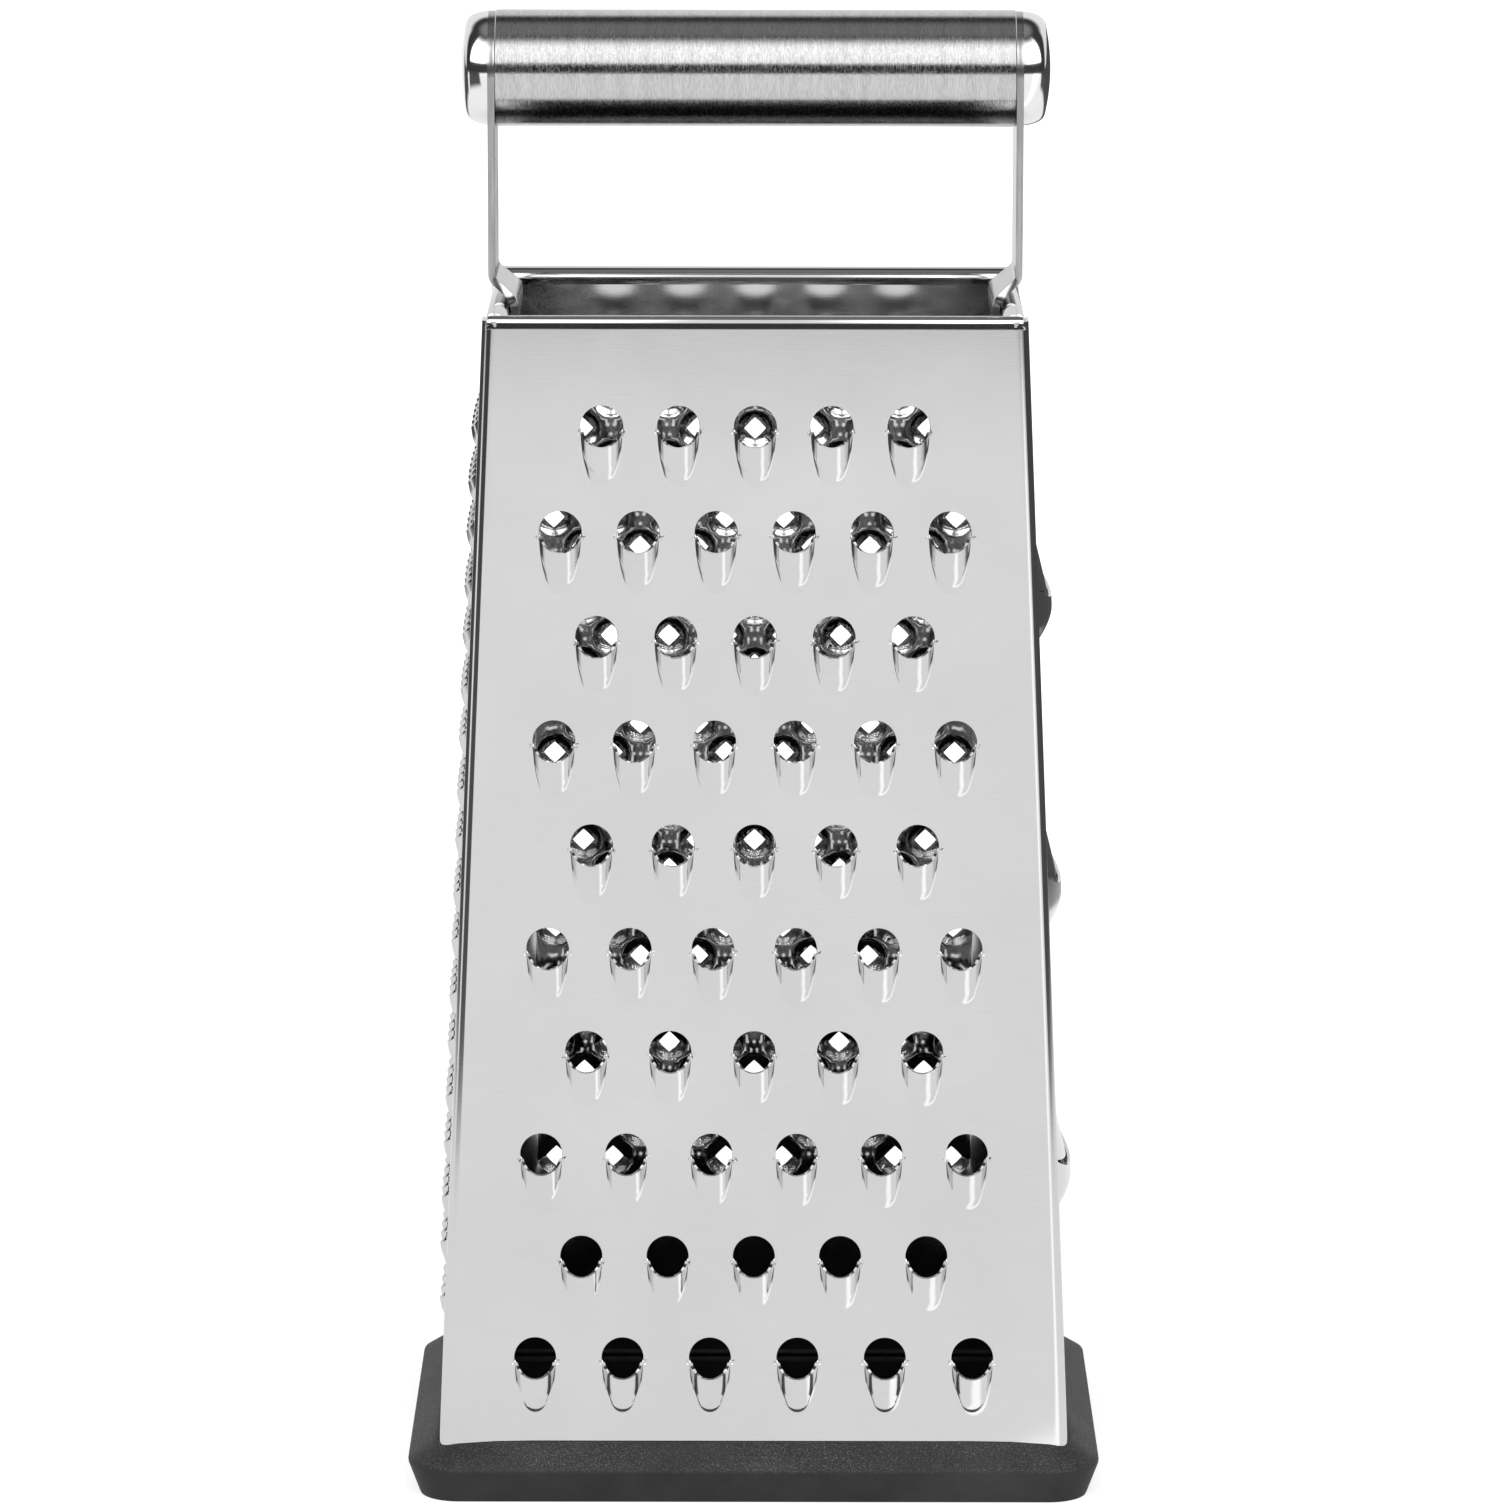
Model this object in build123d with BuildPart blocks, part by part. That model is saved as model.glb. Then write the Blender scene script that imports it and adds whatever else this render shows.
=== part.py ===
from build123d import *
import os
from math import atan, cos, degrees, hypot, radians, sin, sqrt

os.makedirs("parts", exist_ok=True)

# A four-sided box grater that stands on its foot ring. Millimetres, +Z up, origin at the
# middle of the underside. The coarse face looks towards -Y, the fine face towards -X,
# the slicing face towards +X and the rasp face towards +Y.

# Overall
overall_height = 254.0
rim_height = 205.5
body_top_width = 92.4
body_top_depth = 62.0
body_foot_width = 108.8
body_foot_depth = 75.0

# Sheet of the body
sheet_thickness = 0.5
bend_radius = 2.8
lap_width = 4.0
lap_clearance = 0.02
roll_radius = 1.85
roll_leg = 1.0
roll_end_gap = 0.7
corner_notch = 0.9

# Coarse teeth, on the front
coarse_rows = 10
coarse_short_row = 5
coarse_hole_radius = 3.6
coarse_punch_radius = 4.1
coarse_proud = 2.8
coarse_reach = 8.0
coarse_slope = 13.0
coarse_row_pitch = 18.0
coarse_top_pitch = 13.0
coarse_foot_pitch = 15.1
coarse_first_row = 18.8

# Fine teeth, on the left
fine_rows = 18
fine_short_row = 7
fine_hole_radius = 1.8
fine_punch_radius = 2.15
fine_proud = 1.5
fine_reach = 3.7
fine_slope = 14.0
fine_row_pitch = 9.0
fine_top_pitch = 6.0
fine_foot_pitch = 6.6
fine_first_row = 19.4

# Slicing slots, on the right: a ramp, a curved cut and the blade below it
slicer_count = 3
slicer_half_width = 20.5
slicer_sag = 4.8
slicer_gap = 1.0
slicer_ramp_rise = 2.4
slicer_ramp_run = 14.6
slicer_blade_rise = 2.9
slicer_blade_flat = 5.0
slicer_blade_run = 9.0
slicer_blade_round = 5.0
slicer_pitch = 50.7
slicer_first_cut = 53.1

# Rasp dimples, on the back
rasp_rows = 28
rasp_columns = 8
rasp_column_pitch = 10.23
rasp_row_pitch = 5.38
rasp_radius = 3.45
rasp_rise = 0.9
rasp_hole_side = 3.1
rasp_first_row = 24.0

# Foot ring
ring_height = 10.0
ring_waist = 6.0
ring_overhang = 5.75
ring_undercut = 2.1
ring_corner_radius = 9.0
ring_edge_radius = 1.2
ring_wall_gap = 0.12
ring_crest = 0.35
groove_floor = 2.0
lip_height = 4.2
lip_width = 2.6

# Handle
tube_radius = 10.0
tube_wall = 0.8
tube_length = 89.2
strap_thickness = 1.2
strap_width = 19.6
tab_width = 28.0
tab_rise = 2.7
tab_corner_radius = 4.0
tab_neck_share = 0.95
strap_bend_radius = 2.2
jog_start = 4.4
jog_drop = 4.6
roll_clearance = 0.25
weld_pad_length = 8.6
tab_straight = 1.2
tab_return = 3.9

# Handle fittings
plug_length = 12.0
plug_wall = 1.6
plug_clearance = 0.1
plug_boss_radius = 4.2
screw_radius = 2.0
screw_length = 11.0
screw_hole_clearance = 0.15
screw_head_radius = 3.6
screw_head_height = 1.9
screw_recess_radius = 1.3
screw_recess_depth = 1.1
washer_radius = 4.5
washer_thickness = 0.6
retainer_thickness = 1.2
cap_length = 4.8
cap_step = 0.25
cap_wall = 0.8
cap_edge_radius = 3.6
cap_crown = 0.7
cap_clearance = 0.15

# How far a cut runs past what it cuts.
overrun = 2.0

# Body shape worked out from the sizes above. Both leans are run over rise.
body_rise = rim_height - ring_height
width_lean = (body_foot_width - body_top_width) / 2 / body_rise
depth_lean = (body_foot_depth - body_top_depth) / 2 / body_rise
wall_top = rim_height - roll_radius
tube_height = overall_height - tube_radius


def half_width(height):
    return body_top_width / 2 + width_lean * (rim_height - height)


def half_depth(height):
    return body_top_depth / 2 + depth_lean * (rim_height - height)


def interpolate(first, last, share):
    return first + (last - first) * share


# Working planes. Each lies on a panel's outer face with its origin at the middle of the
# sheet's lower edge, its x axis along that edge, its y axis up the face, its z axis out.
# The side panels are tucked behind the laps of the front and back panels.
depth_scale = hypot(1, depth_lean)
width_scale = hypot(1, width_lean)
side_inset = sheet_thickness + lap_clearance
front_plane = Plane(
    origin=(0, -half_depth(groove_floor), groove_floor),
    x_dir=(1, 0, 0),
    z_dir=(0, -1, depth_lean),
)
back_plane = Plane(
    origin=(0, half_depth(groove_floor), groove_floor),
    x_dir=(-1, 0, 0),
    z_dir=(0, 1, depth_lean),
)
right_plane = Plane(
    origin=(half_width(groove_floor) - side_inset * width_scale, 0, groove_floor),
    x_dir=(0, 1, 0),
    z_dir=(1, 0, width_lean),
)
left_plane = Plane(
    origin=(-half_width(groove_floor) + side_inset * width_scale, 0, groove_floor),
    x_dir=(0, -1, 0),
    z_dir=(-1, 0, width_lean),
)
face_length = (wall_top - groove_floor) * depth_scale
side_length = (wall_top - groove_floor) * width_scale
rim_up_face = (rim_height - groove_floor) * depth_scale
rim_up_side = (rim_height - groove_floor) * width_scale


def blade_outline(foot_half, top_half, length):
    with BuildSketch(mode=Mode.PRIVATE) as outline:
        with BuildLine():
            Polyline(
                (-foot_half, 0),
                (foot_half, 0),
                (top_half, length),
                (-top_half, length),
                close=True,
            )
        make_face()
    return outline.sketch


def rim_roll(plane, height, half_length):
    # The hooked rim: half a turn inwards and a short leg down.
    section = Plane(
        origin=plane.from_local_coords((half_length, height, 0)),
        x_dir=plane.z_dir,
        z_dir=-plane.x_dir,
    )
    inner_radius = roll_radius - sheet_thickness
    with BuildPart() as roll:
        with BuildSketch(section):
            with Locations((-roll_radius, 0)):
                Circle(roll_radius)
                Circle(inner_radius, mode=Mode.SUBTRACT)
            with Locations((-roll_radius, -roll_radius)):
                Rectangle(2 * roll_radius, 2 * roll_radius, mode=Mode.SUBTRACT)
            with Locations((-2 * roll_radius, 0)):
                Rectangle(sheet_thickness, roll_leg, align=(Align.MIN, Align.MAX))
        extrude(amount=2 * half_length)
    return roll.part


def corner_bend(side, facing):
    # One rounded corner with its lap, along the leaning edge between two faces. side is
    # 1 on the right and -1 on the left, facing is -1 in front and 1 behind.
    edge = Vector(-side * width_lean, -facing * depth_lean, 1).normalized()
    outward = Vector(0, facing, depth_lean).normalized()
    inward = outward.cross(edge) * (-side * facing)
    start = Vector(side * half_width(0), facing * half_depth(0), 0)
    profile_plane = Plane(origin=start, x_dir=inward, z_dir=edge)
    turn = side * facing
    lap_end = turn * (bend_radius + lap_width)
    with BuildPart() as bend:
        with BuildSketch(profile_plane):
            with Locations((bend_radius, turn * bend_radius)):
                Circle(bend_radius)
                Circle(bend_radius - sheet_thickness, mode=Mode.SUBTRACT)
            with BuildLine():
                Polyline(
                    (bend_radius, -turn * overrun),
                    (bend_radius, turn * bend_radius),
                    (-overrun, turn * bend_radius),
                    (-overrun, lap_end + turn * overrun),
                    (2 * bend_radius + overrun, lap_end + turn * overrun),
                    (2 * bend_radius + overrun, -turn * overrun),
                    close=True,
                )
            make_face(mode=Mode.SUBTRACT)
            with BuildLine():
                Polyline(
                    (0, turn * bend_radius),
                    (sheet_thickness, turn * bend_radius),
                    (sheet_thickness, lap_end),
                    (0, lap_end),
                    close=True,
                )
            make_face()
        extrude(amount=rim_height + overrun)
        split(bisect_by=Plane.XY.offset(groove_floor), keep=Keep.TOP)
        split(bisect_by=Plane.XY.offset(rim_height - corner_notch), keep=Keep.BOTTOM)
    return bend.part


def tooth_tools(hole_radius, punch_radius, proud, reach, slope):
    # A raised tooth below a round hole: a round-nosed punch pushed out of the sheet on a
    # slope. The first solid is the raised metal, the second what is cut away inside it.
    axis = Vector(0, -cos(radians(slope)), -sin(radians(slope)))
    start = Vector(0, 0, proud - punch_radius)
    lip = sqrt(hole_radius**2 - (hole_radius - proud / 2) ** 2)
    lip_start = hole_radius - lip
    lip_slope = (0, -proud, lip_start - hole_radius)

    def punch(radius):
        with BuildPart() as solid:
            with BuildSketch(Plane(origin=start - axis * hole_radius, z_dir=axis)):
                Circle(radius)
            extrude(amount=reach + hole_radius)
            with Locations(start + axis * reach):
                Sphere(radius)
        return solid.part

    with BuildPart() as raised:
        add(punch(punch_radius))
        split(bisect_by=Plane(origin=(0, -lip_start, 0), z_dir=lip_slope), keep=Keep.TOP)
        split(bisect_by=Plane.XY.offset(-sheet_thickness / 2), keep=Keep.TOP)
    with BuildPart() as cut:
        add(punch(punch_radius - sheet_thickness))
        split(
            bisect_by=Plane(origin=(0, sheet_thickness / 2 - lip_start, 0), z_dir=lip_slope),
            keep=Keep.TOP,
        )
        split(bisect_by=Plane.XY.offset(-2 * sheet_thickness), keep=Keep.TOP)
        Cylinder(hole_radius, 3 * sheet_thickness)
    return raised.part, cut.part


def staggered(rows, short_row, row_pitch, top_pitch, foot_pitch, first_row):
    # Rows that alternate between a short row and one more, and spread towards the foot.
    # A place is how far along the face and how far below the rim.
    places = []
    for row in range(rows):
        count = short_row + row % 2
        pitch = interpolate(top_pitch, foot_pitch, row / (rows - 1))
        for column in range(count):
            along = (column - (count - 1) / 2) * pitch
            places.append((along, first_row + row * row_pitch))
    return places


def up_from_foot(places, rim):
    return [(along, rim - below) for along, below in places]


# Front panel: coarse teeth, both front corners and a rolled rim.
front_foot_half = half_width(groove_floor) - bend_radius * hypot(1, width_lean / depth_scale)
front_top_half = half_width(wall_top) - bend_radius * hypot(1, width_lean / depth_scale)
coarse_raised, coarse_cut = tooth_tools(
    coarse_hole_radius, coarse_punch_radius, coarse_proud, coarse_reach, coarse_slope
)
coarse_places = up_from_foot(
    staggered(
        coarse_rows,
        coarse_short_row,
        coarse_row_pitch,
        coarse_top_pitch,
        coarse_foot_pitch,
        coarse_first_row,
    ),
    rim_up_face,
)
with BuildPart(front_plane) as front_sheet:
    with BuildSketch(front_plane):
        add(blade_outline(front_foot_half, front_top_half, face_length))
    extrude(amount=-sheet_thickness)
    with Locations(*coarse_places):
        add(coarse_raised, clean=False)
    with Locations(*coarse_places):
        add(coarse_cut, mode=Mode.SUBTRACT, clean=False)
with BuildPart() as front_panel:
    add(front_sheet.part)
    add(corner_bend(-1, -1))
    add(corner_bend(1, -1))
    add(rim_roll(front_plane, face_length, front_top_half))
front_panel.part.label = "front_panel"

# Back panel: rasp dimples with four-sided holes, both back corners and a rolled rim.
rasp_places = []
for row in range(rasp_rows):
    count = rasp_columns - row % 2
    for column in range(count):
        along = (column - (count - 1) / 2) * rasp_column_pitch
        rasp_places.append((along, rim_up_face - rasp_first_row - row * rasp_row_pitch))
rasp_ball_radius = (rasp_radius**2 + rasp_rise**2) / (2 * rasp_rise)
with BuildPart() as rasp_raised:
    with Locations((0, 0, rasp_rise - rasp_ball_radius)):
        Sphere(rasp_ball_radius)
    split(bisect_by=Plane.XY.offset(-sheet_thickness / 2), keep=Keep.TOP)
with BuildPart() as rasp_cut:
    with Locations((0, 0, rasp_rise - rasp_ball_radius)):
        Sphere(rasp_ball_radius - sheet_thickness)
    split(bisect_by=Plane.XY.offset(-2 * sheet_thickness), keep=Keep.TOP)
    with BuildSketch(Plane.XY.offset(-2 * sheet_thickness)):
        Rectangle(rasp_hole_side, rasp_hole_side, rotation=45)
    extrude(amount=rasp_rise + 4 * sheet_thickness)
with BuildPart(back_plane) as back_sheet:
    with BuildSketch(back_plane):
        add(blade_outline(front_foot_half, front_top_half, face_length))
    extrude(amount=-sheet_thickness)
    with Locations(*rasp_places):
        add(rasp_raised.part, clean=False)
    with Locations(*rasp_places):
        add(rasp_cut.part, mode=Mode.SUBTRACT, clean=False)
with BuildPart() as back_panel:
    add(back_sheet.part)
    add(corner_bend(-1, 1))
    add(corner_bend(1, 1))
    add(rim_roll(back_plane, face_length, front_top_half))
back_panel.part.label = "back_panel"

# Side panels: their edges run behind the laps, their rims stop short of the corners.
side_foot_half = half_depth(groove_floor) - bend_radius - lap_clearance
side_top_half = half_depth(wall_top) - bend_radius - lap_clearance
side_roll_half = half_depth(wall_top) - 2 * roll_radius - roll_end_gap

# Left panel: fine teeth.
fine_raised, fine_cut = tooth_tools(
    fine_hole_radius, fine_punch_radius, fine_proud, fine_reach, fine_slope
)
fine_places = up_from_foot(
    staggered(
        fine_rows,
        fine_short_row,
        fine_row_pitch,
        fine_top_pitch,
        fine_foot_pitch,
        fine_first_row,
    ),
    rim_up_side,
)
with BuildPart(left_plane) as left_sheet:
    with BuildSketch(left_plane):
        add(blade_outline(side_foot_half, side_top_half, side_length))
    extrude(amount=-sheet_thickness)
    with Locations(*fine_places):
        add(fine_raised, clean=False)
    with Locations(*fine_places):
        add(fine_cut, mode=Mode.SUBTRACT, clean=False)
with BuildPart() as left_panel:
    add(left_sheet.part)
    add(rim_roll(left_plane, side_length, side_roll_half))
left_panel.part.label = "left_panel"

# Right panel: wide slots, each between a ramp above and a raised blade below. Both are
# turned about an axis far behind the sheet, so their outlines close in curves.
slicer_places = [
    (0, rim_up_side - slicer_first_cut - index * slicer_pitch) for index in range(slicer_count)
]
below_sheet = 4 * sheet_thickness
turn_radius = (slicer_half_width**2 - slicer_blade_rise**2) / (2 * slicer_blade_rise)
cut_radius = (slicer_half_width**2 + slicer_sag**2) / (2 * slicer_sag)
ramp_end = slicer_ramp_run * (1 + below_sheet / slicer_ramp_rise)
blade_fall = slicer_blade_run - slicer_blade_flat
blade_end = slicer_blade_run + blade_fall * below_sheet / slicer_blade_rise


def ramp_form(inset):
    with BuildPart() as form:
        with BuildSketch(Plane.YZ) as profile:
            with BuildLine():
                Polyline(
                    (-sheet_thickness, -2 * below_sheet),
                    (-sheet_thickness, slicer_ramp_rise),
                    (0, slicer_ramp_rise),
                    (ramp_end, -below_sheet),
                    (ramp_end, -2 * below_sheet),
                    close=True,
                )
            make_face()
            if inset:
                offset(amount=-inset)
        revolve(axis=Axis((0, 0, -turn_radius), (0, 1, 0)))
        with Locations((0, cut_radius + slicer_gap)):
            Cylinder(cut_radius, 4 * slicer_half_width, mode=Mode.INTERSECT)
    return form.part


def blade_form(inset):
    with BuildPart() as form:
        with BuildSketch(Plane.YZ) as profile:
            top = slicer_sag + inset + sheet_thickness
            with BuildLine():
                Polyline(
                    (top, -below_sheet),
                    (top, slicer_blade_rise),
                    (-slicer_blade_flat, slicer_blade_rise),
                    (-blade_end, -below_sheet),
                    close=True,
                )
            make_face()
            crest = profile.vertices().group_by(Axis.Y)[-1].sort_by(Axis.X)[0]
            fillet(crest, slicer_blade_round)
            if inset:
                offset(amount=-inset)
        revolve(axis=Axis((0, 0, -turn_radius), (0, 1, 0)))
        with Locations((0, cut_radius)):
            Cylinder(cut_radius, 4 * slicer_half_width, mode=Mode.SUBTRACT)
    return form.part


with BuildPart() as slicer_raised:
    add(ramp_form(0))
    add(blade_form(0))
    split(bisect_by=Plane.XY.offset(-sheet_thickness / 2), keep=Keep.TOP)
with BuildPart() as slicer_cut:
    add(ramp_form(sheet_thickness))
    add(blade_form(sheet_thickness))
    split(bisect_by=Plane.XY.offset(-2 * sheet_thickness), keep=Keep.TOP)
    with BuildSketch(Plane.XY.offset(-2 * sheet_thickness)):
        Rectangle(2 * slicer_half_width, 2 * slicer_half_width)
        with Locations((0, cut_radius)):
            Circle(cut_radius, mode=Mode.INTERSECT)
        with Locations((0, cut_radius + slicer_gap)):
            Circle(cut_radius, mode=Mode.SUBTRACT)
    extrude(amount=3 * sheet_thickness)
with BuildPart(right_plane) as right_sheet:
    with BuildSketch(right_plane):
        add(blade_outline(side_foot_half, side_top_half, side_length))
    extrude(amount=-sheet_thickness)
    with Locations(*slicer_places):
        add(slicer_raised.part, clean=False)
    with Locations(*slicer_places):
        add(slicer_cut.part, mode=Mode.SUBTRACT, clean=False)
with BuildPart() as right_panel:
    add(right_sheet.part)
    add(rim_roll(right_plane, side_length, side_roll_half))
right_panel.part.label = "right_panel"

# Foot ring: one moulding with a groove that grips the four sheets. Its wall leans out to
# a waist, its shoulder slopes in to the body.
ring_width = body_foot_width + 2 * ring_overhang
ring_depth = body_foot_depth + 2 * ring_overhang
ring_shoulder = ring_height - ring_waist
shoulder_run = ring_overhang - ring_wall_gap - ring_crest
pocket_width = 2 * (half_width(groove_floor) + ring_wall_gap)
pocket_depth = 2 * (half_depth(groove_floor) + ring_wall_gap)
sheets = 2 * sheet_thickness + lap_clearance
lip_outer_width = 2 * (half_width(lip_height) - sheets - ring_wall_gap)
lip_outer_depth = 2 * (half_depth(lip_height) - sheets - ring_wall_gap)
with BuildPart() as base_ring:
    with BuildSketch(Plane.XY.offset(ring_waist)):
        RectangleRounded(ring_width, ring_depth, ring_corner_radius)
    extrude(amount=-ring_waist, taper=degrees(atan(ring_undercut / ring_waist)))
    with BuildSketch(Plane.XY.offset(ring_waist)):
        RectangleRounded(ring_width, ring_depth, ring_corner_radius)
    extrude(amount=ring_shoulder, taper=degrees(atan(shoulder_run / ring_shoulder)))
    fillet(base_ring.edges().filter_by_position(Axis.Z, ring_waist, ring_waist), ring_edge_radius)
    with BuildSketch(Plane.XY.offset(lip_height)):
        RectangleRounded(pocket_width, pocket_depth, bend_radius)
    extrude(amount=ring_height, mode=Mode.SUBTRACT)
    with BuildSketch(Plane.XY.offset(groove_floor - ring_wall_gap)):
        RectangleRounded(pocket_width, pocket_depth, bend_radius)
        RectangleRounded(lip_outer_width, lip_outer_depth, bend_radius, mode=Mode.SUBTRACT)
    extrude(amount=ring_height, mode=Mode.SUBTRACT)
    with BuildSketch(Plane.XY):
        RectangleRounded(
            lip_outer_width - 2 * lip_width, lip_outer_depth - 2 * lip_width, bend_radius
        )
    extrude(amount=ring_height, mode=Mode.SUBTRACT)
base_ring.part.label = "base_ring"

# Straps: flat strip that hangs from the handle's end, steps inwards over the rolled rim
# and lies against the inside of the side panel, where it is welded.
strap_inner = tube_length / 2
strap_outer = strap_inner + strap_thickness
strap_middle = strap_inner + strap_thickness / 2
roll_inner = half_width(wall_top) - side_inset * width_scale - 2 * roll_radius
tab_middle = roll_inner - roll_clearance - strap_thickness / 2
jog_top = rim_height + jog_start
jog_foot = jog_top - jog_drop
return_top = wall_top - roll_leg - tab_straight
return_foot = return_top - tab_return
tab_foot = return_foot - weld_pad_length
tab_top = rim_height + tab_rise
tube_axis = Axis((0, 0, tube_height), (1, 0, 0))


def pad_middle(height):
    wall_inner = half_width(height) - (side_inset + sheet_thickness) * width_scale
    return wall_inner - strap_thickness / 2 * width_scale


with BuildPart() as right_strap:
    with BuildSketch(Plane.XZ):
        with BuildLine():
            FilletPolyline(
                (strap_middle, overall_height),
                (strap_middle, jog_top),
                (tab_middle, jog_foot),
                (tab_middle, return_top),
                (pad_middle(return_foot), return_foot),
                (pad_middle(tab_foot), tab_foot),
                radius=strap_bend_radius,
            )
        trace(line_width=strap_thickness)
    extrude(amount=tab_width, both=True)
    with BuildSketch(Plane.YZ) as strap_face:
        with Locations((0, tube_height)):
            Circle(strap_width / 2)
        with BuildLine():
            Polyline(
                (-strap_width / 2, tube_height),
                (strap_width / 2, tube_height),
                (strap_width / 2, tab_top),
                (tab_width / 2, tab_top),
                (tab_width / 2, tab_foot),
                (-tab_width / 2, tab_foot),
                (-tab_width / 2, tab_top),
                (-strap_width / 2, tab_top),
                close=True,
            )
        make_face()
        neck = strap_face.vertices().filter_by_position(Axis.Y, tab_top, tab_top)
        fillet(neck.sort_by(Axis.X)[1:3], (tab_width - strap_width) / 2 * tab_neck_share)
        foot = strap_face.vertices().filter_by_position(Axis.Y, tab_foot, tab_foot)
        fillet(foot, tab_corner_radius)
    extrude(amount=body_foot_width, mode=Mode.INTERSECT)
    with BuildSketch(Plane.YZ.offset(strap_inner - overrun)):
        with Locations((0, tube_height)):
            Circle(screw_radius + screw_hole_clearance)
    extrude(amount=strap_thickness + 2 * overrun, mode=Mode.SUBTRACT)
right_strap.part.label = "right_strap"
with BuildPart() as left_strap:
    mirror(right_strap.part, about=Plane.YZ)
left_strap.part.label = "left_strap"

# Handle tube between the straps.
with BuildPart() as handle_tube:
    with BuildSketch(Plane.YZ.offset(-tube_length / 2)):
        with Locations((0, tube_height)):
            Circle(tube_radius)
            Circle(tube_radius - tube_wall, mode=Mode.SUBTRACT)
    extrude(amount=tube_length)
handle_tube.part.label = "handle_tube"

# Plugs: moulded cups in the tube's ends, with a boss for the screw.
plug_radius = tube_radius - tube_wall - plug_clearance
with BuildPart() as right_tube_plug:
    with BuildSketch(Plane.YZ.offset(tube_length / 2 - plug_length)):
        with Locations((0, tube_height)):
            Circle(plug_radius)
    extrude(amount=plug_length)
    with BuildSketch(Plane.YZ.offset(tube_length / 2 - plug_length)):
        with Locations((0, tube_height)):
            Circle(plug_radius - plug_wall)
            Circle(plug_boss_radius, mode=Mode.SUBTRACT)
    extrude(amount=plug_length - plug_wall, mode=Mode.SUBTRACT)
    with BuildSketch(Plane.YZ.offset(tube_length / 2 - plug_length)):
        with Locations((0, tube_height)):
            Circle(screw_radius + screw_hole_clearance)
    extrude(amount=plug_length, mode=Mode.SUBTRACT)
right_tube_plug.part.label = "right_tube_plug"
with BuildPart() as left_tube_plug:
    mirror(right_tube_plug.part, about=Plane.YZ)
left_tube_plug.part.label = "left_tube_plug"

# Outside each strap: a disc that the cap snaps over, a washer and a screw.
cap_radius = tube_radius - cap_step
retainer_radius = cap_radius - cap_wall - cap_clearance
washer_face = strap_outer + retainer_thickness
head_face = washer_face + washer_thickness
with BuildPart() as right_cap_retainer:
    with BuildSketch(Plane.YZ.offset(strap_outer)):
        with Locations((0, tube_height)):
            Circle(retainer_radius)
            Circle(screw_radius + screw_hole_clearance, mode=Mode.SUBTRACT)
    extrude(amount=retainer_thickness)
right_cap_retainer.part.label = "right_cap_retainer"
with BuildPart() as left_cap_retainer:
    mirror(right_cap_retainer.part, about=Plane.YZ)
left_cap_retainer.part.label = "left_cap_retainer"

with BuildPart() as right_washer:
    with BuildSketch(Plane.YZ.offset(washer_face)):
        with Locations((0, tube_height)):
            Circle(washer_radius)
            Circle(screw_radius + screw_hole_clearance, mode=Mode.SUBTRACT)
    extrude(amount=washer_thickness)
with BuildPart() as handle_washers:
    add(right_washer.part)
    mirror(right_washer.part, about=Plane.YZ)
handle_washers.part.label = "handle_washers"

with BuildPart() as right_screw:
    with BuildSketch(Plane.YZ.offset(head_face)):
        with Locations((0, tube_height)):
            Circle(screw_head_radius)
    extrude(amount=screw_head_height)
    fillet(right_screw.edges().sort_by(Axis.X)[-1], screw_head_height / 2)
    with BuildSketch(Plane.YZ.offset(head_face)):
        with Locations((0, tube_height)):
            Circle(screw_radius)
    extrude(amount=-screw_length)
    with BuildSketch(Plane.YZ.offset(head_face + screw_head_height)):
        with Locations((0, tube_height)):
            RegularPolygon(screw_recess_radius, 6)
    extrude(amount=-screw_recess_depth, mode=Mode.SUBTRACT)
with BuildPart() as handle_screws:
    add(right_screw.part)
    mirror(right_screw.part, about=Plane.YZ)
handle_screws.part.label = "handle_screws"


def cap_form(radius, length, edge_radius):
    # A shallow crowned button with a rounded edge, from the strap's face outwards.
    end_plane = Plane(origin=(strap_outer, 0, tube_height), x_dir=(1, 0, 0), z_dir=(0, -1, 0))
    shoulder = (length - cap_crown, radius)
    with BuildPart() as form:
        with BuildSketch(end_plane) as profile:
            with BuildLine():
                TangentArc((length, 0), shoulder, tangent=(0, 1))
                Polyline(shoulder, (0, radius), (0, 0), (length, 0))
            make_face()
            fillet(profile.vertices().group_by(Axis.Y)[-1].sort_by(Axis.X)[-1], edge_radius)
        revolve(axis=tube_axis)
    return form.part


# End caps: thin plated buttons.
with BuildPart() as right_end_cap:
    add(cap_form(cap_radius, cap_length, cap_edge_radius))
    add(
        cap_form(cap_radius - cap_wall, cap_length - cap_wall, cap_edge_radius - cap_wall),
        mode=Mode.SUBTRACT,
    )
right_end_cap.part.label = "right_end_cap"
with BuildPart() as left_end_cap:
    mirror(right_end_cap.part, about=Plane.YZ)
left_end_cap.part.label = "left_end_cap"

pieces = [
    front_panel,
    back_panel,
    left_panel,
    right_panel,
    base_ring,
    left_strap,
    right_strap,
    handle_tube,
    left_tube_plug,
    right_tube_plug,
    left_cap_retainer,
    right_cap_retainer,
    handle_washers,
    handle_screws,
    left_end_cap,
    right_end_cap,
]
for piece in pieces:
    export_step(piece.part, f"parts/{piece.part.label}.step")
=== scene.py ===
from math import asin, atan2, cos, hypot, pi, radians, sin, sqrt, tan

import bmesh
import bpy
from mathutils import Matrix, Vector


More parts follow.
